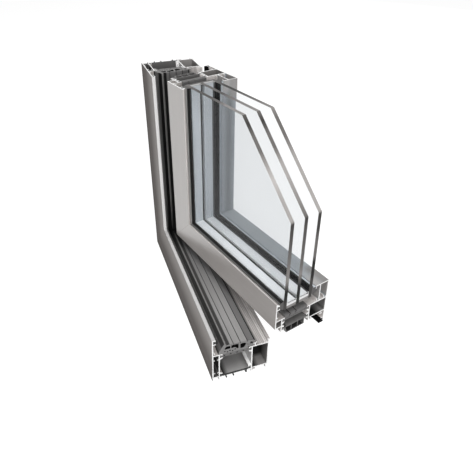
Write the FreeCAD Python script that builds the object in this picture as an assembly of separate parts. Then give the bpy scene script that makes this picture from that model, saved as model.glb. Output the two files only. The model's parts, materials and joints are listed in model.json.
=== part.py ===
import FreeCAD, Part
import math
import os

# Corner sample of an inward opening, thermally broken aluminium window with triple glazing.
# X runs along the sill from the outer side of the jamb, Y runs inwards from the exterior face,
# Z runs up from the underside of the sill. The profiles end at cut faces, where their chambers show.
# Every profile is drawn once, as depth (Y) against height from the outer edge of its frame or sash,
# and is run along both legs of the corner, which meet in a 45 degree mitre.

# Driving dimensions of the sample, in millimetres and degrees
SILL_LENGTH = 325.0
JAMB_HEIGHT = 325.0
OPEN_ANGLE = 14.7
FACE_GAP = 5.4

# Shared by all profiles
ALUMINIUM_WALL = 1.6
CLAW_WALL = 1.4
CLAW_SLANT = 1.8
CLAW_REACH = 3.4
CLAW_TIP = 1.2
CLAW_HOOK = 0.9
EDGE_RADIUS = 0.7
POCKET_HEIGHT = 5.0
POCKET_CLEARANCE = 0.15
SEAT_CLEARANCE = 0.3
STRIP_WEB = 2.2

# Frame profile
FRAME_DEPTH = 77.0
FRAME_FACE = 74.0
FRAME_BODY = 47.0
FRAME_FOOT = 5.6
FRAME_OUTER_CHAMBER = 10.2
FRAME_TUBE_DEPTH = 24.0
FRAME_INNER_LIP = 53.0
FRAME_INNER_LIP_HOOK = 2.8
FRAME_UPPER_POCKET = 40.4
LIP_DEPTH = 4.8
LIP_GROOVE_HEIGHT = 5.2
LIP_TIP = 1.0
RIB_WIDTH = 2.2
RIB_WALL = 1.2
LOWER_RIB = 13.2
UPPER_RIB = 37.5
FACE_RIB = 50.4
RIB_TIP = 1.0
FOOT_HOOK = 4.8
FOOT_HOOK_LOW = 1.6
FOOT_INSET = 2.0
FOOT_WEB_LOW = 5.3
FOOT_WEB = 3.4
LEG_WALL = 1.8
LEG_LEAN = 1.2
FIRST_LEG = 8.4
SECOND_LEG = 18.2
THIRD_LEG_INSET = 7.2
TOP_WEB_LOW = 41.2
TOP_WEB = 5.2
TOP_WEB_RELIEF = 1.6
POST_OFFSET = 4.0
POST_WALL = 1.4
POST_HEIGHT = 5.4
POST_HEAD = 5.0
POST_HEAD_WALL = 1.2
POST_TILT = 0.6
POST_TIP = 1.2
LEDGE_RIB = 12.6
LEDGE_RIB_PITCH = 4.4
LEDGE_RIBS = 2
LEDGE_RIB_WIDTH = 0.9
LEDGE_RIB_HEIGHT = 0.7
LIP_FLARE = 1.0
LIP_FLARE_HEIGHT = 2.6

# Grey gasket that fills the middle of the frame rebate
CENTRE_TOP = 60.8
CENTRE_LAP = 2.0
CENTRE_FLANK = 5.2
CENTRE_FLANK_LEAN = 1.4
CENTRE_FIN = 8.6
CENTRE_FIN_HEIGHT = 3.4
CENTRE_FIN_TIP = 0.8
CENTRE_FIN_ROOT = 1.6
CENTRE_BANDS = 3
CENTRE_BAND_STEP = 0.4
CENTRE_LAST_BAND = 10.7
CENTRE_GROOVE = 0.9
CENTRE_GROOVE_DEPTH = 1.8
CENTRE_LIP_LAP = 1.8
CENTRE_LIP_FALL = 2.2
CENTRE_LIP_WALL = 1.6
CENTRE_BLOCK_TOP = 52.4
CENTRE_SLOT_REACH = 4.0
CENTRE_NOTCH = 1.2
CENTRE_NOTCH_TOP = 48.6

# Hollow cells of that gasket, along the depth in shares of its width up to the slot
FIRST_CELL_SHARE = 0.2
FIRST_POST_SHARE = 0.37
SECOND_POST_SHARE = 0.63
LAST_CELL_SHARE = 0.86
FIRST_POST = 1.4
SECOND_POST = 2.4
CELL_SKIN = 2.6
CELL_FLOOR = 53.4
CELL_KNEE = 4.8
CELL_DEEP_FLOOR = 49.0
CELL_ARCH = 2.2
LAST_CELL_LEAN = 2.4
SLIT = 1.0
SLIT_GAP = 0.9
SLIT_LENGTH = 3.7
SLIT_FALL = 2.0
SMALL_CELL = 0.85
SMALL_CELLS = 5
SMALL_CELL_ZIGZAG = 0.8
SMALL_CELL_HEIGHT = 49.3
STRIP_CELLS = 4
STRIP_CELL_INSET = 2.4
STRIP_CELL_HEIGHT = 43.7

# Round gasket in the frame lip
BULB_RADIUS = 3.3
BULB_CORE = 1.5
BULB_CORE_DEPTH = 2.1
BULB_CORE_INSET = 0.5

# Sash profile
SASH_PROUD = 7.6
SASH_FACE = 41.0
SASH_OUTER_CHAMBER = 11.2
SASH_TUBE_DEPTH = 29.6
SASH_TUBE_LOW = -10.0
SASH_TUBE_HIGH = 13.3
SASH_NOSE = 8.5
SASH_UPPER_POCKET = 6.8
SASH_LOWER_POCKET = -6.6
SASH_RIB = 18.0
GROOVE_DEPTH = 5.2
GROOVE_HEIGHT = 5.0
GROOVE_SILL = 32.0
GROOVE_TIP = 1.0
UPPER_WEB_LOW = 8.4
CHAMBER_WEB_TOP = -3.7
CHAMBER_WEB = 1.4
CHAMBER_BOTTOM = -15.0
CHAMBER_WALL = 1.1
CHAMBER_LEFT_WALL = 2.4
CHAMBER_CELLS = 3
CHAMBER_SLOPE = 4.6
CHAMBER_RELIEF = 2.8
FOAM_TOP = 15.6
FOAM_GROOVE = 1.4
FOAM_GROOVE_DEPTH = 2.8
FOAM_GROOVE_LEAN = 1.8
FOAM_GROOVE_FIRST = 8.2
FOAM_GROOVE_PITCH = 9.6
FOAM_GROOVES = 2
FLANGE_DROP = 18.8
FLANGE_GROOVE = 3.2
HARDWARE_HOOK = 4.2
HARDWARE_LEFT = 4.6
HARDWARE_RIGHT = 7.4
HARDWARE_FOOT = 1.8
BEAD_CLIP_LEFT = 10.6
BEAD_CLIP_RIGHT = 6.2
BEAD_CLIP_HEIGHT = 4.2

# Glazing bead
BEAD_NOSE = 7.4
BEAD_LEFT_WALL = 14.4
BEAD_WALL = 1.5
BEAD_NOSE_DROP = 5.2
BEAD_FOOT = 3.6

# Gaskets that hold the glass
INNER_GASKET_TOP = 1.0
INNER_GASKET_DROP = 10.0
INNER_GASKET_FACE = 2.6
INNER_GASKET_GROOVE = 1.0
INNER_GASKET_GROOVE_DEPTH = 2.0
INNER_GASKET_TAIL = 1.6
INNER_GASKET_HOOK = 2.4
INNER_GASKET_BEVEL = 1.4
OUTER_GASKET_DROP = 3.0
OUTER_GASKET_HEEL = 1.0
OUTER_GASKET_FACE = 1.8
OUTER_GASKET_TOP = 0.6
OUTER_GASKET_FALL = 1.2
OVERLAP_BODY = 3.2
OVERLAP_DROP = 2.4
OVERLAP_BEVEL = 0.8

# Triple glazing
PANES = 3
PANE_THICKNESS = 4.0
GLASS_SETBACK = 11.4
GLASS_COVER = 29.2
GLASS_EDGE = 27.0
CORNER_CUT = 92.5
EDGE_SEAL = 4.4
SPACER_HEIGHT = 6.4
SPACER_WALL = 0.8
SPACER_SLOT = 1.8
SPACER_INSET = 0.3
BLOCK_LENGTH = 80.0
BLOCK_FROM_CORNER = 60.0
BLOCK_OVERHANG = 3.0

# Corner cleats in the chambers
CLEAT_REACH = 34.0
CLEAT_CLEARANCE = 0.3

# Pivot that carries the sash
PIVOT_INSET = 31.3
PIVOT_STANDOFF = 8.8
BEARING_RADIUS = 6.5
PIN_RADIUS = 3.5
PIN_CLEARANCE = 0.3
BEARING_PLATE = 3.0
BEARING_LOW = 12.0
BEARING_HIGH = 44.0
BARREL_HEIGHT = 27.0
HINGE_PLATE = 3.0
HINGE_PLATE_REACH = 62.0
HINGE_PLATE_HEIGHT = 34.0
HINGE_RELIEF_REACH = 4.0
HINGE_RELIEF_OVER = 1.0
PLATE_CORNER = 2.0

# Sizes that follow from the driving dimensions
SASH_EDGE = FRAME_FACE + FACE_GAP
SASH_DEPTH = FRAME_DEPTH + SASH_PROUD
FRAME_TUBE = FRAME_DEPTH - FRAME_TUBE_DEPTH
SASH_TUBE = SASH_DEPTH - SASH_TUBE_DEPTH
FRAME_LOWER_POCKET = FRAME_FOOT
GLASS_BACK = SASH_DEPTH - GLASS_COVER
CAVITY_WIDTH = (GLASS_BACK - GLASS_SETBACK - PANES * PANE_THICKNESS) / (PANES - 1)
PANE_PITCH = PANE_THICKNESS + CAVITY_WIDTH
PIVOT_Y = FRAME_DEPTH + PIVOT_STANDOFF
MARGIN = 60.0
MATCH = 0.01


class Leg:
    """One leg of the corner, along which a profile runs."""

    def __init__(self, name, length):
        self.name = name
        self.length = length
        self.level = name == "bottom"

    def at(self, depth, height, run=0.0):
        """Point of a profile at a distance along the leg."""
        if self.level:
            return FreeCAD.Vector(run, depth, height)
        return FreeCAD.Vector(height, depth, run)

    def along(self, distance):
        """Vector of that length along the leg."""
        return self.at(0.0, 0.0, distance)

    def runs_at(self, edge, depth, height):
        """Whether an edge runs along the leg at that depth and height."""
        for vertex in edge.Vertexes:
            run = vertex.Point.dot(self.along(1.0))
            if vertex.Point.distanceToPoint(self.at(depth, height, run)) > MATCH:
                return False
        return True

    def mitre_side(self):
        """Large wedge that keeps this leg's side of the mitre."""
        far = self.length + MARGIN
        start = self.at(-MARGIN, -MARGIN, -MARGIN)
        corners = [start, self.at(-MARGIN, -MARGIN, far), self.at(-MARGIN, far, far)]
        wedge = Part.Face(Part.makePolygon(corners + corners[:1]))
        return wedge.extrude(FreeCAD.Vector(0.0, FRAME_DEPTH + SASH_DEPTH + MARGIN, 0.0))


BOTTOM = Leg("bottom", SILL_LENGTH)
SIDE = Leg("side", JAMB_HEIGHT)
FRAME_NAMES = {"bottom": "sill", "side": "jamb"}
SASH_NAMES = {"bottom": "rail", "side": "stile"}


def area(corners):
    """Signed area of an outline."""
    total = 0.0
    for (depth, height), (next_depth, next_height) in zip(corners, corners[1:] + corners[:1]):
        total += depth * next_height - next_depth * height
    return total / 2.0


def outline(leg, corners):
    """Face with straight sides through the corners, each a depth and a height."""
    if area(corners) < 0.0:
        corners = corners[::-1]
    points = [leg.at(depth, height) for depth, height in corners]
    return Part.Face(Part.makePolygon(points + points[:1]))


def plate(leg, depth, height, depth_end, height_end):
    """Rectangular face between two corners."""
    return outline(leg, [(depth, height), (depth_end, height), (depth_end, height_end), (depth, height_end)])


def small_cell(leg, depth, height):
    """Small four-sided cell round a point."""
    half = SMALL_CELL
    return outline(leg, [(depth - half, height), (depth, height - half), (depth + half, height),
                         (depth, height + half)])


def disc(leg, depth, height, radius):
    """Round face."""
    normal = leg.along(1.0) if leg.level else leg.along(-1.0)
    return Part.Face(Part.Wire(Part.makeCircle(radius, leg.at(depth, height), normal)))


def joined(faces):
    """One face from faces that touch or overlap."""
    if len(faces) == 1:
        return faces[0]
    return faces[0].multiFuse(faces[1:]).removeSplitter()


def bar(leg, walls, cells=(), eased=()):
    """Profile run along a leg from its mitre to its cut end, with its long edges at some places eased."""
    section = joined(walls)
    if cells:
        section = section.cut(Part.makeCompound(list(cells)))
    solid = section.Faces[0].extrude(leg.along(leg.length))
    edges = [edge for edge in solid.Edges for depth, height in eased if leg.runs_at(edge, depth, height)]
    if edges:
        solid = solid.makeFillet(EDGE_RADIUS, edges)
    return solid.common(leg.mitre_side())


def claw(leg, wall, reach, edge, side, slant):
    """Claw along one edge of a strip pocket: side is 1 over the pocket and -1 under it."""
    tip = wall + reach
    tip_inner = tip - math.copysign(CLAW_TIP, reach)
    outer = edge + side * CLAW_WALL
    hook = edge - side * CLAW_HOOK
    return outline(leg, [(wall, edge), (tip_inner, edge), (tip_inner, hook), (tip, hook), (tip, outer),
                         (wall, outer + side * slant)])


def claw_pair(leg, wall, reach, low, chamber):
    """Two claws on a wall, around the head of an insulating strip: chamber is the side of the hollow."""
    high = low + POCKET_HEIGHT
    over = CLAW_SLANT if chamber > 0.0 else 0.0
    under = CLAW_SLANT - over
    return [claw(leg, wall, reach, low, -1.0, under), claw(leg, wall, reach, high, 1.0, over)]


def strip_heads(leg, left_wall, right_wall, low, neck_low, neck_high):
    """Two heads of an insulating strip in their pockets, with the necks that pass between the claws."""
    head = CLAW_REACH - CLAW_TIP - POCKET_CLEARANCE
    bottom = low + POCKET_CLEARANCE
    top = low + POCKET_HEIGHT - POCKET_CLEARANCE
    neck = CLAW_REACH + POCKET_CLEARANCE
    return [
        plate(leg, left_wall + POCKET_CLEARANCE, bottom, left_wall + head, top),
        plate(leg, left_wall + head, neck_low, left_wall + neck, neck_high),
        plate(leg, right_wall - neck, neck_low, right_wall - head, neck_high),
        plate(leg, right_wall - head, bottom, right_wall - POCKET_CLEARANCE, top),
    ]


def frame_outer_shell(leg):
    """Exterior half of the frame, with the lip that holds the rebate gasket."""
    wall = ALUMINIUM_WALL
    back = FRAME_OUTER_CHAMBER
    upper_high = FRAME_UPPER_POCKET + POCKET_HEIGHT
    groove_top = FRAME_FACE - wall
    groove_floor = groove_top - LIP_GROOVE_HEIGHT
    rib = wall + RIB_WIDTH
    walls = [
        plate(leg, 0.0, 0.0, wall, FRAME_FACE),
        plate(leg, back - wall, 0.0, back, FRAME_BODY),
        plate(leg, wall, FRAME_FOOT, back - wall, FRAME_FOOT + CLAW_WALL),
        plate(leg, wall, upper_high, back, FRAME_BODY),
        plate(leg, wall, groove_top, LIP_DEPTH, FRAME_FACE),
        plate(leg, LIP_DEPTH - LIP_TIP, groove_top - CLAW_HOOK, LIP_DEPTH, groove_top),
        plate(leg, wall, groove_floor - CLAW_WALL, LIP_DEPTH, groove_floor),
        plate(leg, LIP_DEPTH - LIP_TIP, groove_floor, LIP_DEPTH, groove_floor + CLAW_HOOK),
        plate(leg, wall, FACE_RIB, rib, FACE_RIB + RIB_WALL),
        plate(leg, rib - RIB_TIP, FACE_RIB - CLAW_HOOK, rib, FACE_RIB),
    ]
    for height in (LOWER_RIB, UPPER_RIB):
        walls.append(plate(leg, wall, height, rib, height + RIB_WALL))
        walls.append(plate(leg, back - rib, height, back - wall, height + RIB_WALL))
    walls += claw_pair(leg, back, CLAW_REACH, FRAME_LOWER_POCKET, 1.0)
    walls += claw_pair(leg, back, CLAW_REACH, FRAME_UPPER_POCKET, -1.0)
    return bar(leg, walls, eased=[(0.0, FRAME_FACE), (LIP_DEPTH, FRAME_FACE)])


def frame_inner_shell(leg):
    """Interior half of the frame: a tube with feet, a clip post and the interior lip."""
    wall = ALUMINIUM_WALL
    left = FRAME_TUBE
    back = FRAME_DEPTH - wall
    foot = back - FOOT_INSET
    post = left + POST_OFFSET
    post_top = FRAME_BODY + POST_HEIGHT
    head_low = post_top - POST_HEAD_WALL
    head_left = post + POST_WALL / 2.0 - POST_HEAD / 2.0
    head_right = head_left + POST_HEAD
    lip_top = FRAME_INNER_LIP
    lip_low = lip_top - RIB_WALL
    lip_left = FRAME_DEPTH - FRAME_INNER_LIP_HOOK
    lip_right = FRAME_DEPTH + LIP_FLARE
    flare_low = lip_top - LIP_FLARE_HEIGHT
    walls = [
        plate(leg, left, 0.0, left + wall, FRAME_BODY),
        plate(leg, left + wall, FOOT_HOOK_LOW, left + wall + FOOT_HOOK, FOOT_HOOK_LOW + RIB_WALL),
        plate(leg, foot, 0.0, foot + wall, FRAME_FOOT),
        plate(leg, back, FRAME_FOOT, FRAME_DEPTH, flare_low),
        plate(leg, left, FRAME_FOOT, FRAME_DEPTH, FRAME_FOOT + wall),
        plate(leg, left, FRAME_BODY - wall, FRAME_DEPTH, FRAME_BODY),
        outline(leg, [(back, flare_low), (FRAME_DEPTH, flare_low), (lip_right, lip_low), (lip_right, lip_top),
                      (lip_left, lip_top), (lip_left, lip_low), (back, lip_low)]),
        plate(leg, post, FRAME_BODY, post + POST_WALL, post_top - POST_TILT),
        outline(leg, [(head_left, head_low - POST_TILT), (head_right, head_low + POST_TILT),
                      (head_right, post_top + POST_TIP), (head_right - RIB_WALL, post_top + POST_TIP),
                      (head_right - RIB_WALL, post_top), (head_left, post_top - POST_TILT)]),
    ]
    for index in range(LEDGE_RIBS):
        rib = left + LEDGE_RIB + index * LEDGE_RIB_PITCH
        walls.append(plate(leg, rib, FRAME_BODY, rib + LEDGE_RIB_WIDTH, FRAME_BODY + LEDGE_RIB_HEIGHT))
    walls += claw_pair(leg, left, -CLAW_REACH, FRAME_LOWER_POCKET, 1.0)
    walls += claw_pair(leg, left, -CLAW_REACH, FRAME_UPPER_POCKET, -1.0)
    return bar(leg, walls, eased=[(lip_right, lip_top)])


def frame_foot_strip(leg):
    """Lower insulating strip of the frame, with legs that reach the ground."""
    web_high = FOOT_WEB_LOW + FOOT_WEB
    neck_low = FRAME_LOWER_POCKET + CLAW_HOOK + POCKET_CLEARANCE
    left = FRAME_OUTER_CHAMBER + CLAW_REACH + POCKET_CLEARANCE
    right = FRAME_TUBE - CLAW_REACH - POCKET_CLEARANCE
    faces = strip_heads(leg, FRAME_OUTER_CHAMBER, FRAME_TUBE, FRAME_LOWER_POCKET, neck_low, web_high)
    faces.append(plate(leg, left, FOOT_WEB_LOW, right, web_high))
    first = FRAME_OUTER_CHAMBER + FIRST_LEG
    second = FRAME_OUTER_CHAMBER + SECOND_LEG
    for foot, lean in ((first, LEG_LEAN), (second, LEG_LEAN), (FRAME_TUBE - THIRD_LEG_INSET, 0.0)):
        top = foot - lean
        faces.append(outline(leg, [(foot, 0.0), (foot + LEG_WALL, 0.0), (top + LEG_WALL, FOOT_WEB_LOW),
                                   (top, FOOT_WEB_LOW)]))
    return bar(leg, faces)


def frame_top_strip(leg):
    """Upper insulating strip of the frame, with small hollow cells, which carries the centre gasket."""
    neck_low = FRAME_UPPER_POCKET + CLAW_HOOK + POCKET_CLEARANCE
    neck_high = FRAME_UPPER_POCKET + POCKET_HEIGHT - CLAW_HOOK - POCKET_CLEARANCE
    left = FRAME_OUTER_CHAMBER + CLAW_REACH + POCKET_CLEARANCE
    neck_right = FRAME_TUBE - CLAW_REACH - POCKET_CLEARANCE
    right = neck_right - TOP_WEB_RELIEF
    faces = strip_heads(leg, FRAME_OUTER_CHAMBER, FRAME_TUBE, FRAME_UPPER_POCKET, neck_low, neck_high)
    faces.append(plate(leg, left, TOP_WEB_LOW, right, TOP_WEB_LOW + TOP_WEB))
    faces.append(plate(leg, right, neck_low, neck_right, neck_high))
    pitch = (right - left) / STRIP_CELLS
    cells = []
    for index in range(STRIP_CELLS):
        cells.append(small_cell(leg, left + STRIP_CELL_INSET + index * pitch, STRIP_CELL_HEIGHT))
    return bar(leg, faces, cells)


def centre_gasket(leg):
    """Grey gasket with hollow cells, a slanted flank with a fin, a banded top and a lip over the post."""
    foot = FRAME_OUTER_CHAMBER - CENTRE_LAP
    base = FRAME_BODY + POCKET_CLEARANCE
    strip_top = TOP_WEB_LOW + TOP_WEB
    strip_left = FRAME_OUTER_CHAMBER + CLAW_REACH + POCKET_CLEARANCE
    strip_right = FRAME_TUBE - CLAW_REACH - POCKET_CLEARANCE - TOP_WEB_RELIEF
    head_left = FRAME_TUBE + POST_OFFSET + POST_WALL / 2.0 - POST_HEAD / 2.0
    block_right = head_left - SEAT_CLEARANCE
    fin = foot + CENTRE_FIN
    fin_top = CENTRE_TOP + CENTRE_FIN_HEIGHT
    groove = fin + CENTRE_FIN_ROOT
    lip_end = head_left + CENTRE_LIP_LAP
    pitch = (lip_end - groove - CENTRE_LAST_BAND) / CENTRE_BANDS
    corners = [
        (strip_left, strip_top),
        (strip_left, base),
        (foot, base),
        (foot + CENTRE_FLANK_LEAN, base + CENTRE_FLANK),
        (fin - CENTRE_FIN_TIP, fin_top - CENTRE_FIN_TIP),
        (fin, fin_top),
        (fin + CENTRE_FIN_TIP, fin_top - CENTRE_FIN_TIP),
        (groove, CENTRE_TOP),
    ]
    for band in range(CENTRE_BANDS):
        band_top = CENTRE_TOP - CENTRE_BAND_STEP * band
        band_left = groove + band * pitch
        corners.append((band_left, band_top - CENTRE_GROOVE_DEPTH))
        corners.append((band_left + CENTRE_GROOVE, band_top - CENTRE_GROOVE_DEPTH))
        corners.append((band_left + CENTRE_GROOVE, band_top))
        corners.append((band_left + pitch, band_top))
    last = groove + CENTRE_BANDS * pitch
    last_top = CENTRE_TOP - CENTRE_BAND_STEP * CENTRE_BANDS
    slot_left = block_right - CENTRE_SLOT_REACH
    lip_top = last_top - CENTRE_LIP_FALL
    corners += [
        (last, last_top - CENTRE_GROOVE_DEPTH),
        (last + CENTRE_GROOVE, last_top - CENTRE_GROOVE_DEPTH),
        (last + CENTRE_GROOVE, last_top),
        (lip_end, lip_top),
        (lip_end, lip_top - CENTRE_LIP_WALL),
        (slot_left, lip_top - CENTRE_LIP_WALL),
        (slot_left, CENTRE_BLOCK_TOP),
        (block_right, CENTRE_BLOCK_TOP),
        (block_right, base),
        (strip_right + CENTRE_NOTCH, base),
        (strip_right + CENTRE_NOTCH, CENTRE_NOTCH_TOP),
        (strip_right, CENTRE_NOTCH_TOP),
        (strip_right, strip_top),
    ]
    return bar(leg, [outline(leg, corners)], centre_cells(leg, foot, slot_left))


def centre_cells(leg, foot, slot_left):
    """Hollow cells of the centre gasket: an arch, two deep cells, a slit and a zigzag of small cells."""
    span = slot_left - foot
    roof = CENTRE_TOP - CELL_SKIN
    arch = foot + FIRST_CELL_SHARE * span
    first_post = foot + FIRST_POST_SHARE * span
    second_post = foot + SECOND_POST_SHARE * span
    last = foot + LAST_CELL_SHARE * span
    middle = first_post + FIRST_POST
    deep = second_post + SECOND_POST
    half_arch = CELL_ARCH / 2.0
    slit = last + SLIT_GAP
    cells = [
        outline(leg, [(arch, CELL_FLOOR), (first_post, CELL_FLOOR), (first_post, roof - half_arch),
                      (first_post - half_arch, roof), (arch + CELL_ARCH, roof), (arch, roof - CELL_ARCH)]),
        outline(leg, [(middle, CELL_FLOOR), (second_post - CELL_KNEE, CELL_FLOOR),
                      (second_post - half_arch, CELL_DEEP_FLOOR + half_arch),
                      (second_post, CELL_DEEP_FLOOR + half_arch), (second_post, roof), (middle, roof)]),
        outline(leg, [(deep, CELL_DEEP_FLOOR), (last - LAST_CELL_LEAN, CELL_DEEP_FLOOR), (last, CELL_FLOOR),
                      (last, roof - CELL_ARCH), (last - CELL_ARCH, roof - half_arch),
                      (deep, roof - half_arch)]),
        outline(leg, [(slit, CELL_FLOOR), (slit + SLIT_LENGTH, CELL_FLOOR - SLIT_FALL),
                      (slit + SLIT_LENGTH, CELL_FLOOR - SLIT_FALL + SLIT), (slit, CELL_FLOOR + SLIT)]),
    ]
    pitch = (second_post - half_arch - arch) / SMALL_CELLS
    for index in range(SMALL_CELLS):
        rise = SMALL_CELL_ZIGZAG if index % 2 == 0 else -SMALL_CELL_ZIGZAG
        cells.append(small_cell(leg, arch + index * pitch, SMALL_CELL_HEIGHT + rise))
    return cells


def lip_gasket(leg):
    """Hollow gasket in the groove of the frame lip."""
    groove_top = FRAME_FACE - ALUMINIUM_WALL
    groove_floor = groove_top - LIP_GROOVE_HEIGHT
    middle = (groove_top + groove_floor) / 2.0
    clear = POCKET_CLEARANCE
    foot_back = LIP_DEPTH - LIP_TIP - clear
    face = LIP_DEPTH + clear
    reach = 2.0 * BULB_RADIUS
    beyond = plate(leg, face, middle - reach, face + reach, middle + reach)
    half = disc(leg, face, middle, BULB_RADIUS).common(beyond)
    neck = CLAW_HOOK + clear
    core = face + BULB_CORE_INSET
    core_middle = core + BULB_CORE_DEPTH / 2.0
    walls = [
        plate(leg, ALUMINIUM_WALL + clear, groove_floor + clear, foot_back, groove_top - clear),
        plate(leg, foot_back, groove_floor + neck, face, groove_top - neck),
        half.Faces[0],
    ]
    hollow = outline(leg, [(core, middle - BULB_CORE), (core, middle + BULB_CORE),
                           (core_middle, middle + BULB_CORE), (core + BULB_CORE_DEPTH, middle),
                           (core_middle, middle - BULB_CORE)])
    return bar(leg, walls, [hollow])


def sash_point(height):
    """Height of a sash profile point over the outer edge of the frame."""
    return SASH_EDGE + height


def sash_plate(leg, depth, height, depth_end, height_end):
    """Rectangular face of a sash profile."""
    return plate(leg, depth, sash_point(height), depth_end, sash_point(height_end))


def sash_outline(leg, corners):
    """Face of a sash profile through the corners."""
    return outline(leg, [(depth, sash_point(height)) for depth, height in corners])


def opened(shape):
    """Sash piece turned about the pivot, as the sample stands ajar."""
    turned = shape.copy()
    turned.rotate(FreeCAD.Vector(PIVOT_INSET, PIVOT_Y, 0.0), FreeCAD.Vector(0.0, 0.0, 1.0), OPEN_ANGLE)
    return turned


def sash_outer_shell(leg):
    """Exterior half of the sash, with the groove of the exterior glazing gasket."""
    wall = ALUMINIUM_WALL
    back = SASH_OUTER_CHAMBER
    web_top = SASH_UPPER_POCKET + POCKET_HEIGHT + CLAW_WALL
    groove_top = GROOVE_SILL + GROOVE_HEIGHT
    walls = [
        sash_plate(leg, 0.0, 0.0, wall, SASH_FACE),
        sash_plate(leg, wall, 0.0, back, wall),
        sash_plate(leg, back - wall, -SASH_NOSE, back, web_top),
        sash_plate(leg, wall, web_top - CLAW_WALL, back, web_top),
        sash_plate(leg, wall, SASH_RIB, wall + RIB_WIDTH, SASH_RIB + RIB_WALL),
        sash_plate(leg, wall, GROOVE_SILL - CLAW_WALL, GROOVE_DEPTH, GROOVE_SILL),
        sash_plate(leg, GROOVE_DEPTH - GROOVE_TIP, GROOVE_SILL, GROOVE_DEPTH, GROOVE_SILL + CLAW_HOOK),
        sash_outline(leg, [(wall, groove_top), (GROOVE_DEPTH, groove_top - CLAW_HOOK),
                           (GROOVE_DEPTH, groove_top + CLAW_HOOK), (wall, SASH_FACE)]),
    ]
    walls += claw_pair(leg, back, CLAW_REACH, sash_point(SASH_LOWER_POCKET), 1.0)
    walls += claw_pair(leg, back, CLAW_REACH, sash_point(SASH_UPPER_POCKET), -1.0)
    return opened(bar(leg, walls, eased=[(0.0, sash_point(0.0))]))


def sash_inner_shell(leg):
    """Interior half of the sash: a tube, the hardware groove, the overlap flange and the bead clips."""
    wall = ALUMINIUM_WALL
    left = SASH_TUBE
    flange_tip = SASH_TUBE_LOW - FLANGE_DROP
    groove_low = flange_tip + CLAW_WALL
    groove_high = groove_low + FLANGE_GROOVE
    groove_left = SASH_DEPTH - wall - CLAW_REACH
    hook_low = SASH_TUBE_LOW - HARDWARE_HOOK
    foot_low = hook_low + RIB_WALL
    hook_left = left + HARDWARE_LEFT
    hook_left_end = hook_left + RIB_WALL
    hook_right = SASH_DEPTH - HARDWARE_RIGHT
    hook_right_end = hook_right + RIB_WALL
    clip_left = left + BEAD_CLIP_LEFT
    clip_right = SASH_DEPTH - BEAD_CLIP_RIGHT
    clip_top = SASH_TUBE_HIGH + BEAD_CLIP_HEIGHT
    walls = [
        sash_plate(leg, left, SASH_TUBE_LOW, left + wall, SASH_TUBE_HIGH),
        sash_plate(leg, left, SASH_TUBE_HIGH - wall, SASH_DEPTH, SASH_TUBE_HIGH),
        sash_plate(leg, left, SASH_TUBE_LOW, SASH_DEPTH, SASH_TUBE_LOW + wall),
        sash_plate(leg, SASH_DEPTH - wall, flange_tip, SASH_DEPTH, SASH_TUBE_HIGH),
        sash_plate(leg, groove_left, flange_tip, SASH_DEPTH - wall, groove_low),
        sash_plate(leg, groove_left, groove_high, SASH_DEPTH - wall, groove_high + CLAW_WALL),
        sash_plate(leg, left, hook_low, left + RIB_WALL, SASH_TUBE_LOW),
        sash_plate(leg, hook_left, hook_low, hook_left_end, SASH_TUBE_LOW),
        sash_plate(leg, hook_left_end, hook_low, hook_left_end + HARDWARE_FOOT, foot_low),
        sash_plate(leg, hook_right, hook_low, hook_right_end, SASH_TUBE_LOW),
        sash_plate(leg, hook_right - HARDWARE_FOOT, hook_low, hook_right_end + HARDWARE_FOOT, foot_low),
        sash_plate(leg, clip_left, SASH_TUBE_HIGH, clip_left + RIB_WALL, clip_top),
        sash_plate(leg, clip_left + RIB_WALL, clip_top - RIB_WALL, clip_left + 2.0 * RIB_WALL, clip_top),
        sash_plate(leg, clip_right, SASH_TUBE_HIGH, clip_right + RIB_WALL, clip_top),
    ]
    walls += claw_pair(leg, left, -CLAW_REACH, sash_point(SASH_LOWER_POCKET), 1.0)
    walls += claw_pair(leg, left, -CLAW_REACH, sash_point(SASH_UPPER_POCKET), -1.0)
    return opened(bar(leg, walls, eased=[(SASH_DEPTH, sash_point(flange_tip))]))


def sash_upper_strip(leg):
    """Upper insulating strip of the sash."""
    low = sash_point(UPPER_WEB_LOW)
    high = low + STRIP_WEB
    left = SASH_OUTER_CHAMBER + CLAW_REACH
    right = SASH_TUBE - CLAW_REACH
    faces = strip_heads(leg, SASH_OUTER_CHAMBER, SASH_TUBE, sash_point(SASH_UPPER_POCKET), low, high)
    faces.append(plate(leg, left, low, right, high))
    return opened(bar(leg, faces))


def sash_chamber_strip(leg):
    """Lower insulating strip of the sash, with three hollow chambers that reach into the frame rebate."""
    top = CHAMBER_WEB_TOP
    web_low = top - CHAMBER_WEB
    left = SASH_OUTER_CHAMBER + CLAW_REACH + POCKET_CLEARANCE
    neck_right = SASH_TUBE - CLAW_REACH - POCKET_CLEARANCE
    right = neck_right - CHAMBER_RELIEF
    floor = CHAMBER_BOTTOM + CHAMBER_WALL
    slope_end = left + CHAMBER_SLOPE
    pocket = sash_point(SASH_LOWER_POCKET)
    faces = strip_heads(leg, SASH_OUTER_CHAMBER, SASH_TUBE, pocket, sash_point(web_low), sash_point(top))
    faces.append(sash_outline(leg, [(left, top), (neck_right, top), (neck_right, web_low), (right, web_low),
                                    (right, CHAMBER_BOTTOM), (slope_end, CHAMBER_BOTTOM), (left, web_low)]))
    first = left + CHAMBER_LEFT_WALL
    pitch = (right - first) / CHAMBER_CELLS
    cells = []
    for index in range(CHAMBER_CELLS):
        cell_left = first + index * pitch
        cell_right = cell_left + pitch - CHAMBER_WALL
        low_left = max(cell_left, slope_end + CHAMBER_WALL)
        cells.append(sash_outline(leg, [(cell_left, web_low), (cell_right, web_low), (cell_right, floor),
                                        (low_left, floor)]))
    return opened(bar(leg, faces, cells))


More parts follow.
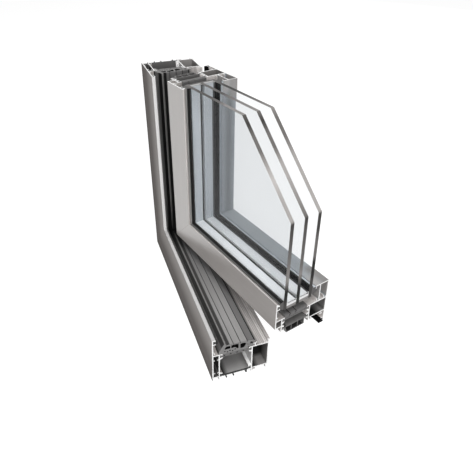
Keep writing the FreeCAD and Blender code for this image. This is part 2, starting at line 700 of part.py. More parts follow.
def sash_foam(leg):
    """Foam insulation on the upper strip, in three blocks parted by two slanted grooves."""
    low = UPPER_WEB_LOW + STRIP_WEB
    left = SASH_OUTER_CHAMBER + CLAW_REACH + SEAT_CLEARANCE
    right = SASH_TUBE - CLAW_REACH - SEAT_CLEARANCE
    groove_low = FOAM_TOP - FOAM_GROOVE_DEPTH
    cells = []
    for index in range(FOAM_GROOVES):
        groove = left + FOAM_GROOVE_FIRST + index * FOAM_GROOVE_PITCH
        foot = groove - FOAM_GROOVE_LEAN
        cells.append(sash_outline(leg, [(groove, FOAM_TOP), (groove + FOAM_GROOVE, FOAM_TOP),
                                        (foot + FOAM_GROOVE, groove_low), (foot, groove_low)]))
    return opened(bar(leg, [sash_plate(leg, left, low, right, FOAM_TOP)], cells))


def glazing_bead(leg):
    """Hollow bead that clamps the glass from the inside."""
    wall = BEAD_WALL
    nose = GLASS_BACK + BEAD_NOSE
    left = GLASS_BACK + BEAD_LEFT_WALL
    base = SASH_TUBE_HIGH + SEAT_CLEARANCE
    nose_low = SASH_FACE - BEAD_NOSE_DROP
    foot = RIB_WALL
    walls = [
        sash_plate(leg, nose, SASH_FACE - wall, SASH_DEPTH, SASH_FACE),
        sash_plate(leg, nose, nose_low, nose + foot, SASH_FACE),
        sash_plate(leg, left, base, left + wall, SASH_FACE),
        sash_plate(leg, SASH_DEPTH - wall, base, SASH_DEPTH, SASH_FACE),
        sash_plate(leg, SASH_DEPTH - BEAD_FOOT, base, SASH_DEPTH, base + foot),
        sash_plate(leg, left, base, left + BEAD_FOOT, base + foot),
    ]
    top = sash_point(SASH_FACE)
    return opened(bar(leg, walls, eased=[(SASH_DEPTH, top), (nose, top)]))


def inner_glazing_gasket(leg):
    """Wide gasket between the inner pane and the bead nose, with a groove along its top."""
    glass = GLASS_BACK
    nose = GLASS_BACK + BEAD_NOSE - POCKET_CLEARANCE
    top = SASH_FACE + INNER_GASKET_TOP
    low = SASH_FACE - INNER_GASKET_DROP
    hook = SASH_FACE - BEAD_NOSE_DROP - POCKET_CLEARANCE
    hook_back = GLASS_BACK + BEAD_NOSE + RIB_WALL + POCKET_CLEARANCE
    hook_top = hook + INNER_GASKET_HOOK
    tail = hook_back + INNER_GASKET_TAIL
    groove = glass + INNER_GASKET_FACE
    groove_right = groove + INNER_GASKET_GROOVE
    groove_low = top - INNER_GASKET_GROOVE_DEPTH
    body = sash_outline(leg, [(glass, top), (groove, top), (groove, groove_low), (groove_right, groove_low),
                              (groove_right, top - INNER_GASKET_BEVEL), (nose, SASH_FACE - BEAD_WALL),
                              (nose, hook), (hook_back, hook), (hook_back, hook_top), (tail, hook_top),
                              (tail, low + INNER_GASKET_BEVEL), (nose, low), (glass, low)])
    return opened(bar(leg, [body]))


def outer_glazing_gasket(leg):
    """Gasket between the exterior lip and the outer pane."""
    clear = POCKET_CLEARANCE
    top = GROOVE_SILL + GROOVE_HEIGHT
    neck_low = GROOVE_SILL + CLAW_HOOK + clear
    neck_high = top - CLAW_HOOK - clear
    face = GROOVE_DEPTH + clear
    foot_back = GROOVE_DEPTH - GROOVE_TIP - clear
    low = GROOVE_SILL - OUTER_GASKET_DROP
    glass = GLASS_SETBACK
    front = glass - OUTER_GASKET_FACE
    walls = [
        sash_plate(leg, ALUMINIUM_WALL + clear, GROOVE_SILL + clear, foot_back, neck_high),
        sash_plate(leg, foot_back, neck_low, face, neck_high),
        sash_outline(leg, [(face, GROOVE_SILL - OUTER_GASKET_HEEL), (front, low), (glass, low),
                           (glass, SASH_FACE), (front, SASH_FACE + OUTER_GASKET_TOP),
                           (face, SASH_FACE - OUTER_GASKET_FALL)]),
    ]
    return opened(bar(leg, walls))


def overlap_gasket(leg):
    """Black gasket on the flange, which closes on the interior face of the frame."""
    clear = POCKET_CLEARANCE
    flange_tip = SASH_TUBE_LOW - FLANGE_DROP
    groove_low = flange_tip + CLAW_WALL
    groove_high = groove_low + FLANGE_GROOVE
    groove_left = SASH_DEPTH - ALUMINIUM_WALL - CLAW_REACH
    body_right = groove_left - clear
    body_left = body_right - OVERLAP_BODY
    bevel = OVERLAP_BEVEL
    low = flange_tip - OVERLAP_DROP
    high = groove_high + CLAW_WALL
    foot_right = SASH_DEPTH - ALUMINIUM_WALL - clear
    walls = [
        sash_plate(leg, body_right, groove_low + clear, foot_right, groove_high - clear),
        sash_outline(leg, [(body_left, low + bevel), (body_left + bevel, low), (body_right, low),
                           (body_right, high), (body_left + bevel, high), (body_left, high - bevel)]),
        sash_plate(leg, body_right, low, SASH_DEPTH - clear, flange_tip - clear),
    ]
    return opened(bar(leg, walls))


def pane(index):
    """Sheet of glass with the far corner cut off."""
    front = GLASS_SETBACK + index * PANE_PITCH
    edge = sash_point(GLASS_EDGE)
    corners = [
        (edge, edge),
        (SILL_LENGTH, edge),
        (SILL_LENGTH, JAMB_HEIGHT - CORNER_CUT),
        (SILL_LENGTH - CORNER_CUT, JAMB_HEIGHT),
        (edge, JAMB_HEIGHT),
    ]
    points = [FreeCAD.Vector(x, front, z) for x, z in corners]
    sheet = Part.Face(Part.makePolygon(points + points[:1]))
    return opened(sheet.extrude(FreeCAD.Vector(0.0, PANE_THICKNESS, 0.0)))


def spacer(leg, index):
    """Metal spacer between two panes, with a slot under its top for the drying agent."""
    front = GLASS_SETBACK + PANE_THICKNESS + index * PANE_PITCH
    low = GLASS_EDGE + EDGE_SEAL
    top = low + SPACER_HEIGHT
    left = front + SPACER_INSET
    right = front + CAVITY_WIDTH - SPACER_INSET
    slot_top = top - SPACER_WALL
    slot = sash_plate(leg, left + SPACER_WALL, slot_top - SPACER_SLOT, right - SPACER_WALL, slot_top)
    return opened(bar(leg, [sash_plate(leg, left, low, right, top)], [slot]))


def edge_seal(leg, index):
    """Sealant outside the spacer."""
    front = GLASS_SETBACK + PANE_THICKNESS + index * PANE_PITCH
    seal = sash_plate(leg, front, GLASS_EDGE, front + CAVITY_WIDTH, GLASS_EDGE + EDGE_SEAL)
    return opened(bar(leg, [seal]))


def setting_block(leg):
    """Block between the sash profile and the edge of the glass."""
    outer_top = SASH_UPPER_POCKET + POCKET_HEIGHT + CLAW_WALL
    left = SASH_OUTER_CHAMBER - BLOCK_OVERHANG
    right = SASH_TUBE + BLOCK_OVERHANG
    foam_left = SASH_OUTER_CHAMBER + CLAW_REACH
    foam_right = SASH_TUBE - CLAW_REACH
    section = sash_outline(leg, [(left, outer_top), (foam_left, outer_top), (foam_left, FOAM_TOP),
                                 (foam_right, FOAM_TOP), (foam_right, SASH_TUBE_HIGH),
                                 (right, SASH_TUBE_HIGH), (right, GLASS_EDGE), (left, GLASS_EDGE)])
    block = section.extrude(leg.along(BLOCK_LENGTH))
    block.translate(leg.along(SASH_EDGE + GLASS_EDGE + BLOCK_FROM_CORNER))
    return opened(block)


def cleat(depth, depth_end, height, height_end):
    """Angle that joins the two legs of a chamber at the mitre."""
    low = height + CLEAT_CLEARANCE
    high = height_end - CLEAT_CLEARANCE
    reach = high + CLEAT_REACH
    corners = [(low, low), (reach, low), (reach, high), (high, high), (high, reach), (low, reach)]
    points = [FreeCAD.Vector(x, depth + CLEAT_CLEARANCE, z) for x, z in corners]
    thickness = depth_end - depth - 2.0 * CLEAT_CLEARANCE
    return Part.Face(Part.makePolygon(points + points[:1])).extrude(FreeCAD.Vector(0.0, thickness, 0.0))


def plate_with_corners(left, front, low, right, thickness, high):
    """Upright plate whose four corners are rounded."""
    box = Part.makeBox(right - left, thickness, high - low, FreeCAD.Vector(left, front, low))
    across = [edge for edge in box.Edges if abs(edge.tangentAt(edge.FirstParameter).y) > MATCH]
    return box.makeFillet(PLATE_CORNER, across)


def pivot_bearing():
    """Bearing on the interior face of the frame, with the pin that the sash turns on."""
    front = FRAME_DEPTH
    height = BEARING_HIGH - BEARING_LOW
    foot = plate_with_corners(BEARING_LOW, front, BEARING_LOW, BEARING_HIGH, BEARING_PLATE, BEARING_HIGH)
    low = FreeCAD.Vector(PIVOT_INSET, PIVOT_Y, BEARING_LOW)
    post = Part.makeCylinder(BEARING_RADIUS, height, low)
    neck_corner = FreeCAD.Vector(PIVOT_INSET - BEARING_RADIUS, front, BEARING_LOW)
    neck = Part.makeBox(2.0 * BEARING_RADIUS, PIVOT_STANDOFF, height, neck_corner)
    pin = Part.makeCylinder(PIN_RADIUS, BARREL_HEIGHT, low + FreeCAD.Vector(0.0, 0.0, height))
    return foot.multiFuse([post, neck, pin]).removeSplitter()


def hinge_plate():
    """Plate on the interior face of the sash, with the barrel that rides on the pin."""
    base = BEARING_HIGH
    axis = FreeCAD.Vector(PIVOT_INSET, PIVOT_Y, base)
    barrel = Part.makeCylinder(BEARING_RADIUS, BARREL_HEIGHT, axis)
    low = sash_point(SASH_TUBE_LOW - FLANGE_DROP)
    high = low + HINGE_PLATE_HEIGHT
    far = PIVOT_INSET + HINGE_PLATE_REACH
    leaf = plate_with_corners(PIVOT_INSET, SASH_DEPTH, low, far, HINGE_PLATE, high)
    barrel_top = base + BARREL_HEIGHT
    over = HINGE_RELIEF_OVER
    corner = FreeCAD.Vector(PIVOT_INSET - over, SASH_DEPTH - over, barrel_top)
    width = BEARING_RADIUS + HINGE_RELIEF_REACH
    above = Part.makeBox(width, HINGE_PLATE + 2.0 * over, high - barrel_top + over, corner)
    bore = Part.makeCylinder(PIN_RADIUS + PIN_CLEARANCE, BARREL_HEIGHT, axis)
    return opened(barrel.fuse(leaf).cut(above).cut(bore).removeSplitter())


def export(name, shape):
    """Write one node."""
    solids = shape.Solids
    piece = solids[0] if len(solids) == 1 else Part.makeCompound(solids)
    piece.exportStep("parts/" + name + ".step")


def main():
    """Build every piece and write it."""
    os.makedirs("parts", exist_ok=True)
    for leg in (BOTTOM, SIDE):
        frame = "frame_" + FRAME_NAMES[leg.name]
        export(frame + "_outer_shell", frame_outer_shell(leg))
        export(frame + "_inner_shell", frame_inner_shell(leg))
        export(frame + "_foot_strip", frame_foot_strip(leg))
        export(frame + "_top_strip", frame_top_strip(leg))
        export(frame + "_centre_gasket", centre_gasket(leg))
        export(frame + "_lip_gasket", lip_gasket(leg))
        sash = "sash_" + SASH_NAMES[leg.name]
        export(sash + "_outer_shell", sash_outer_shell(leg))
        export(sash + "_inner_shell", sash_inner_shell(leg))
        export(sash + "_upper_strip", sash_upper_strip(leg))
        export(sash + "_chamber_strip", sash_chamber_strip(leg))
        export(sash + "_foam", sash_foam(leg))
        export(sash + "_overlap_gasket", overlap_gasket(leg))
        glazing = SASH_NAMES[leg.name]
        export("glazing_bead_" + glazing, glazing_bead(leg))
        export("inner_glazing_gasket_" + glazing, inner_glazing_gasket(leg))
        export("outer_glazing_gasket_" + glazing, outer_glazing_gasket(leg))
        export("setting_block_" + glazing, setting_block(leg))
        for index, cavity in enumerate(("outer", "inner")):
            export(cavity + "_spacer_" + glazing, spacer(leg, index))
            export(cavity + "_edge_seal_" + glazing, edge_seal(leg, index))
    for index, place in enumerate(("outer", "middle", "inner")):
        export(place + "_glass_pane", pane(index))
    wall = ALUMINIUM_WALL
    rib = wall + RIB_WIDTH
    export("frame_outer_cleat", cleat(rib, FRAME_OUTER_CHAMBER - rib, FRAME_FOOT + CLAW_WALL,
                                      FRAME_UPPER_POCKET + POCKET_HEIGHT))
    export("frame_inner_cleat", cleat(FRAME_TUBE + wall, FRAME_DEPTH - wall, FRAME_FOOT + wall,
                                      FRAME_BODY - wall))
    sash_low = sash_point(SASH_TUBE_LOW) + wall
    sash_high = sash_point(SASH_TUBE_HIGH) - wall
    export("sash_inner_cleat", opened(cleat(SASH_TUBE + wall, SASH_DEPTH - wall, sash_low, sash_high)))
    export("pivot_bearing", pivot_bearing())
    export("sash_hinge_plate", hinge_plate())


main()
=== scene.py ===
"""Looks of a cut-open corner of an insulated aluminium window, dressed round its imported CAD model.

The frame of the CAD model is kept: X along the sill, Y from the exterior face to the interior, Z up, in metres.
Sizes of profile details are millimetres in the closed window, as depth (from the exterior face), height (from
the outer edge of the leg) and length (along the leg).
"""
import json
import logging
import math
from dataclasses import dataclass, field, replace
from enum import Enum

import bpy
from mathutils import Matrix, Vector

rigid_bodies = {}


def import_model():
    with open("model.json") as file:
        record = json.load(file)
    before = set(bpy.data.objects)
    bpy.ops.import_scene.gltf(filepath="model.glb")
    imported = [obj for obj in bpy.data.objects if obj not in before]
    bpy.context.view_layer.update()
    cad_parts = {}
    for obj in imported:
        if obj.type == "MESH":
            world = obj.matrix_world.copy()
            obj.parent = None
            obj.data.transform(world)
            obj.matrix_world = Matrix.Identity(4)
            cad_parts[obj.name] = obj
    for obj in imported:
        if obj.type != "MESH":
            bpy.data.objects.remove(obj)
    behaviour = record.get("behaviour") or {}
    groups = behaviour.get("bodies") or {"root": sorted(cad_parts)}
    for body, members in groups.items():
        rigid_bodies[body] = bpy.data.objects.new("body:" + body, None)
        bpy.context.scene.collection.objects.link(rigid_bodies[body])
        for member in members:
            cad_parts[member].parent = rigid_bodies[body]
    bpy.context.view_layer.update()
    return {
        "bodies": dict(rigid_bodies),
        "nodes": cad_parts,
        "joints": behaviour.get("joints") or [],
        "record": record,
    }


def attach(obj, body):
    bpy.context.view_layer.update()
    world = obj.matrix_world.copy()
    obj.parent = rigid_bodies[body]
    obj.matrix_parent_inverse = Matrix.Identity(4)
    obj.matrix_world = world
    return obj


MM = 0.001
TOUCH = 1e-6
LOG = logging.getLogger("window_corner")
Colour = tuple[float, float, float]


class Run(Enum):
    """Leg of the window corner that a piece belongs to."""

    SILL = "sill"
    JAMB = "jamb"
    RAIL = "rail"
    STILE = "stile"
    GLAZING = "glass"
    NONE = "none"


@dataclass(frozen=True)
class Corner:
    """Main measures of the corner, and how its sash stands ajar."""

    angle: float = math.radians(14.7)
    pivot: tuple[float, float] = (31.3, 85.8)
    cut: float = 325.0
    sash_edge: float = 79.4
    pane_edge: float = 106.4
    pane_corner_cut: float = 92.5

    def turn(self) -> Matrix:
        """Turn that takes the closed sash to the open one, in metres."""
        pivot = Matrix.Translation(Vector((self.pivot[0], self.pivot[1], 0.0)) * MM)
        return pivot @ Matrix.Rotation(self.angle, 4, "Z") @ pivot.inverted()

    def axes(self, run: Run) -> tuple[Vector, Vector, Vector]:
        """Directions of length, height and depth of a leg.

        Args:
            run: The leg.

        Returns:
            The three unit vectors as the leg stands now.
        """
        sill, up, through = Vector((1.0, 0.0, 0.0)), Vector((0.0, 0.0, 1.0)), Vector((0.0, 1.0, 0.0))
        if run in (Run.RAIL, Run.STILE, Run.GLAZING):
            sill = Vector((math.cos(self.angle), math.sin(self.angle), 0.0))
            through = Vector((-math.sin(self.angle), math.cos(self.angle), 0.0))
        if run in (Run.JAMB, Run.STILE):
            return up, sill, through
        return sill, up, through

    def shifts(self, run: Run) -> Vector:
        """What is added to a point's three coordinates so that they are those of the closed window.

        Args:
            run: The leg.

        Returns:
            The shifts of length, height and depth in millimetres.
        """
        if run not in (Run.RAIL, Run.STILE, Run.GLAZING):
            return Vector((0.0, 0.0, 0.0))
        pivot = Vector((self.pivot[0], self.pivot[1], 0.0))
        axes = self.axes(run)
        closed = [pivot.x if run is not Run.STILE else 0.0, pivot.x if run is Run.STILE else 0.0, pivot.y]
        return Vector([closed[i] - pivot.dot(axes[i]) for i in range(3)])


CORNER = Corner()


def run_of(node: str) -> Run:
    """Leg that a CAD node belongs to, by its name.

    Args:
        node: Name of the node.

    Returns:
        The leg.
    """
    for run in (Run.SILL, Run.JAMB, Run.RAIL, Run.STILE, Run.GLAZING):
        if run.value in node:
            return run
    return Run.NONE


def solid(colour: Colour) -> tuple[float, float, float, float]:
    """Colour with full alpha."""
    return colour + (1.0,)


def scaled(colour: Colour, factor: float) -> Colour:
    """Colour made lighter or darker, kept under white."""
    return tuple(min(0.98, part * factor) for part in colour)


class Nodes:
    """Shader node tree with short ways to add and join nodes."""

    def __init__(self, tree: bpy.types.NodeTree) -> None:
        """Keeps the tree."""
        self.tree = tree

    def add(self, kind: str, **settings: object) -> bpy.types.Node:
        """Adds a node.

        Args:
            kind: Type name of the node.
            **settings: Attributes to set on it.

        Returns:
            The node.
        """
        node = self.tree.nodes.new(kind)
        for name, value in settings.items():
            setattr(node, name, value)
        return node

    def put(self, target: bpy.types.NodeSocket, value: object) -> None:
        """Joins an output to a socket, or sets the socket's value.

        Args:
            target: Input socket.
            value: Output socket, number, colour or vector.
        """
        if isinstance(value, bpy.types.NodeSocket):
            self.tree.links.new(value, target)
        elif target.type == "VECTOR":
            target.default_value = tuple(value)[:3]
        else:
            target.default_value = value

    def fill(self, node: bpy.types.Node, values: dict[str, object]) -> None:
        """Joins or sets a node's inputs by name."""
        for name, value in values.items():
            self.put(node.inputs[name], value)

    def math(self, operation: str, *values: object, clamp: bool = False) -> bpy.types.NodeSocket:
        """Adds a Math node.

        Args:
            operation: Its operation.
            *values: Numbers or outputs for its inputs.
            clamp: Keeps the result between 0 and 1.

        Returns:
            Its output.
        """
        node = self.add("ShaderNodeMath", operation=operation, use_clamp=clamp)
        for socket, value in zip(node.inputs, values):
            self.put(socket, value)
        return node.outputs[0]

    def vector(self, operation: str, *values: object, scale: object = 1.0) -> bpy.types.NodeSocket:
        """Adds a Vector Math node.

        Args:
            operation: Its operation.
            *values: Vectors or outputs for its inputs.
            scale: Factor of the operation SCALE.

        Returns:
            Its output, a number for a dot product or length.
        """
        node = self.add("ShaderNodeVectorMath", operation=operation)
        self.put(node.inputs[3], scale)
        for socket, value in zip(node.inputs, values):
            self.put(socket, value)
        return node.outputs["Value" if operation in ("DOT_PRODUCT", "LENGTH") else "Vector"]

    def mix(self, factor: object, first: object, second: object) -> bpy.types.NodeSocket:
        """Mixes two colours.

        Args:
            factor: Share of the second.
            first: First colour.
            second: Second colour.

        Returns:
            The mixed colour.
        """
        node = self.add("ShaderNodeMix", data_type="RGBA")
        self.put(node.inputs[0], factor)
        self.put(node.inputs[6], first)
        self.put(node.inputs[7], second)
        return node.outputs[2]

    def noise(self, vector: object, scale: float, detail: float = 2.0) -> bpy.types.NodeSocket:
        """Adds a noise texture.

        Args:
            vector: Its coordinates.
            scale: Its scale.
            detail: Its detail.

        Returns:
            Its value.
        """
        node = self.add("ShaderNodeTexNoise")
        self.fill(node, {"Vector": vector, "Scale": scale, "Detail": detail})
        return node.outputs[0]

    def combine(self, *parts: object) -> bpy.types.NodeSocket:
        """Joins three numbers to a vector.

        Args:
            *parts: The numbers or outputs.

        Returns:
            The vector.
        """
        node = self.add("ShaderNodeCombineXYZ")
        for socket, value in zip(node.inputs, parts):
            self.put(socket, value)
        return node.outputs[0]

    def bump(self, shader: bpy.types.Node, height: object, relief: float, strength: float) -> None:
        """Gives a shader fine relief.

        Args:
            shader: The shader.
            height: Output with the relief's height.
            relief: Millimetres for a height of 1.
            strength: Strength of the bump.
        """
        node = self.add("ShaderNodeBump")
        self.fill(node, {"Distance": relief * MM, "Strength": strength, "Height": height})
        self.put(shader.inputs["Normal"], node.outputs["Normal"])

    def group(self, tree: bpy.types.NodeTree, **values: object) -> bpy.types.NodeOutputs:
        """Places a node group.

        Args:
            tree: The group.
            **values: Numbers, vectors or outputs for its inputs by name.

        Returns:
            Its outputs.
        """
        node = self.add("ShaderNodeGroup", node_tree=tree)
        self.fill(node, values)
        return node.outputs


def new_material(name: str) -> tuple[bpy.types.Material, bpy.types.Node]:
    """Starts a material.

    Args:
        name: Its name.

    Returns:
        The material and its shader.
    """
    material = bpy.data.materials.new(name)
    material.use_nodes = True
    return material, material.node_tree.nodes["Principled BSDF"]


def new_group(name: str, inputs: dict[str, str], outputs: tuple[str, ...]) -> tuple[Nodes, dict, dict]:
    """Starts a shader node group.

    Args:
        name: Its name.
        inputs: Socket types by input name, "Float" or "Vector".
        outputs: Names of its outputs, all numbers.

    Returns:
        The group's nodes, its input sockets and its output sockets by name.
    """
    tree = bpy.data.node_groups.new(name, "ShaderNodeTree")
    for socket, kind in inputs.items():
        tree.interface.new_socket(name=socket, in_out="INPUT", socket_type="NodeSocket" + kind)
    for socket in outputs:
        tree.interface.new_socket(name=socket, in_out="OUTPUT", socket_type="NodeSocketFloat")
    nodes = Nodes(tree)
    entry = nodes.add("NodeGroupInput")
    leave = nodes.add("NodeGroupOutput")
    return nodes, {s.name: s for s in entry.outputs}, {s.name: s for s in leave.inputs}


class Effects:
    """Shader node groups that several finishes share."""

    place: dict[str, str] = {"Length": "Float", "Height": "Float", "Depth": "Float"}
    saw_slope: float = 0.35
    saw_pitch: float = 3.2
    saw_scale: float = 0.6
    line_stretch: float = 0.004
    streak_scale: float = 0.33
    drift_scale: float = 14.0

    def __init__(self) -> None:
        """Builds the groups."""
        self.profile_place = self.build_profile_place()
        self.zone = self.build_zone()
        self.sawn_end = self.build_sawn_end()
        self.mitre = self.build_mitre()
        self.die_lines = self.build_die_lines()
        self.grain = self.build_grain()
        self.flecks = self.build_flecks()

    @staticmethod
    def build_profile_place() -> bpy.types.NodeTree:
        """Length, height and depth of a point in its leg of the closed window, in millimetres.

        Returns:
            The group.
        """
        vectors = {"LengthAxis": "Vector", "HeightAxis": "Vector", "DepthAxis": "Vector", "Shifts": "Vector"}
        nodes, given, made = new_group("profile_place", vectors, ("Length", "Height", "Depth"))
        place = nodes.add("ShaderNodeTexCoord").outputs["Object"]
        point = nodes.vector("MULTIPLY", place, (1.0 / MM, 1.0 / MM, 1.0 / MM))
        shifts = nodes.add("ShaderNodeSeparateXYZ")
        nodes.put(shifts.inputs[0], given["Shifts"])
        for index, name in enumerate(("Length", "Height", "Depth")):
            along = nodes.vector("DOT_PRODUCT", point, given[name + "Axis"])
            nodes.put(made[name], nodes.math("ADD", along, shifts.outputs[index]))
        return nodes.tree

    @staticmethod
    def build_zone() -> bpy.types.NodeTree:
        """Mask of a box in a leg, with soft edges.

        Returns:
            The group.
        """
        names = ["Blur", "Fade"]
        names += [part + name for name in ("Length", "Height", "Depth") for part in ("", "Low", "High")]
        nodes, given, made = new_group("zone", {name: "Float" for name in names}, ("Mask",))
        mask = None
        for name in ("Depth", "Height", "Length"):
            for low, high in ((given["Low" + name], given[name]), (given[name], given["High" + name])):
                soft = given["Fade" if name == "Length" else "Blur"]
                inside = nodes.math("DIVIDE", nodes.math("SUBTRACT", high, low), soft)
                side = nodes.math("ADD", inside, 0.5, clamp=True)
                mask = side if mask is None else nodes.math("MULTIPLY", mask, side)
        nodes.put(made["Mask"], mask)
        return nodes.tree

    @staticmethod
    def build_sawn_end() -> bpy.types.NodeTree:
        """Mask of the sawn end of a leg, with the fine marks that the saw left.

        Returns:
            The group.
        """
        nodes, given, made = new_group("sawn_end", Effects.place | {"Cut": "Float"}, ("Mask", "Marks"))
        nodes.put(made["Mask"], nodes.math("GREATER_THAN", given["Length"], given["Cut"]))
        skew = nodes.math("MULTIPLY_ADD", given["Height"], Effects.saw_slope, given["Depth"])
        across = nodes.combine(nodes.math("MULTIPLY", skew, Effects.saw_pitch), given["Height"], 0.0)
        nodes.put(made["Marks"], nodes.noise(across, Effects.saw_scale, 3.0))
        return nodes.tree

    @staticmethod
    def build_mitre() -> bpy.types.NodeTree:
        """Hairline where the two legs meet at 45 degrees.

        Returns:
            The group.
        """
        nodes, given, made = new_group("mitre", {"Length": "Float", "Height": "Float", "Width": "Float"}, ("Line",))
        off = nodes.math("ABSOLUTE", nodes.math("SUBTRACT", given["Length"], given["Height"]))
        nodes.put(made["Line"], nodes.math("SUBTRACT", 1.0, nodes.math("DIVIDE", off, given["Width"]), clamp=True))
        return nodes.tree

    @staticmethod
    def build_die_lines() -> bpy.types.NodeTree:
        """Faint lines along the extrusion, as a height and as a slow streak of tone.

        Returns:
            The group.
        """
        nodes, given, made = new_group("die_lines", Effects.place | {"Fineness": "Float"}, ("Lines", "Streaks"))
        along = nodes.math("MULTIPLY", given["Length"], Effects.line_stretch)
        place = nodes.combine(along, given["Height"], given["Depth"])
        nodes.put(made["Lines"], nodes.noise(nodes.vector("SCALE", place, scale=given["Fineness"]), 1.0, 3.0))
        nodes.put(made["Streaks"], nodes.noise(place, Effects.streak_scale))
        return nodes.tree

    @staticmethod
    def build_grain() -> bpy.types.NodeTree:
        """Even fine grain with a slow drift, for coatings, rubber and plastic.

        Returns:
            The group.
        """
        nodes, given, made = new_group("grain", {"Fineness": "Float"}, ("Fine", "Drift"))
        place = nodes.add("ShaderNodeTexCoord").outputs["Object"]
        nodes.put(made["Fine"], nodes.noise(nodes.vector("SCALE", place, scale=given["Fineness"]), 1.0))
        nodes.put(made["Drift"], nodes.noise(place, Effects.drift_scale))
        return nodes.tree

    @staticmethod
    def build_flecks() -> bpy.types.NodeTree:
        """Small round spots, such as glass fibre ends or the cells of foam.

        Returns:
            The group.
        """
        nodes, given, made = new_group("flecks", {"Size": "Float", "Share": "Float"}, ("Spots", "Walls"))
        place = nodes.add("ShaderNodeTexCoord").outputs["Object"]
        cells = nodes.add("ShaderNodeTexVoronoi")
        size = nodes.math("DIVIDE", 1.0 / MM, given["Size"])
        nodes.put(cells.inputs["Vector"], nodes.vector("SCALE", place, scale=size))
        nodes.put(cells.inputs["Scale"], 1.0)
        nodes.put(made["Walls"], cells.outputs["Distance"])
        nodes.put(made["Spots"], nodes.math("LESS_THAN", cells.outputs["Distance"], given["Share"]))
        return nodes.tree


END_MARGIN = 0.04
BEFORE = -500.0
BEYOND = 900.0


@dataclass(frozen=True)
class Patch:
    """Part of a profile's section whose tone differs; most patches are painted shade or painted light, such as
    painted shade inside a chamber.

    Low and high are corners of the section as depth and height, and reach is the stretch along the leg.
    """

    low: tuple[float, float]
    high: tuple[float, float]
    colour: Colour
    blur: float = 0.4
    sawn: bool = False
    reach: tuple[float, float] = (BEFORE, BEYOND)
    fade: float = 6.0


@dataclass(frozen=True)
class Surface:
    """Where a material's nodes find their place in the profile."""

    nodes: Nodes
    effects: Effects
    run: Run
    length: bpy.types.NodeSocket
    height: bpy.types.NodeSocket
    depth: bpy.types.NodeSocket

    @staticmethod
    def start(material: bpy.types.Material, effects: Effects, run: Run) -> "Surface":
        """Adds the place nodes to a material.

        Args:
            material: The material.
            effects: Shared node groups.
            run: The leg.

        Returns:
            The surface.
        """
        nodes = Nodes(material.node_tree)
        length, height, depth = (tuple(axis) for axis in CORNER.axes(run))
        out = nodes.group(effects.profile_place, LengthAxis=length, HeightAxis=height, DepthAxis=depth,
                          Shifts=tuple(CORNER.shifts(run)))
        return Surface(nodes, effects, run, out["Length"], out["Height"], out["Depth"])

    def zone(self, patch: Patch) -> bpy.types.NodeSocket:
        """Places the mask of a patch.

        Args:
            patch: The patch.

        Returns:
            The mask.
        """
        return self.nodes.group(self.effects.zone, Length=self.length, Height=self.height, Depth=self.depth,
                                LowDepth=patch.low[0], HighDepth=patch.high[0], LowHeight=patch.low[1],
                                HighHeight=patch.high[1], LowLength=patch.reach[0], HighLength=patch.reach[1],
                                Blur=patch.blur, Fade=patch.fade)["Mask"]


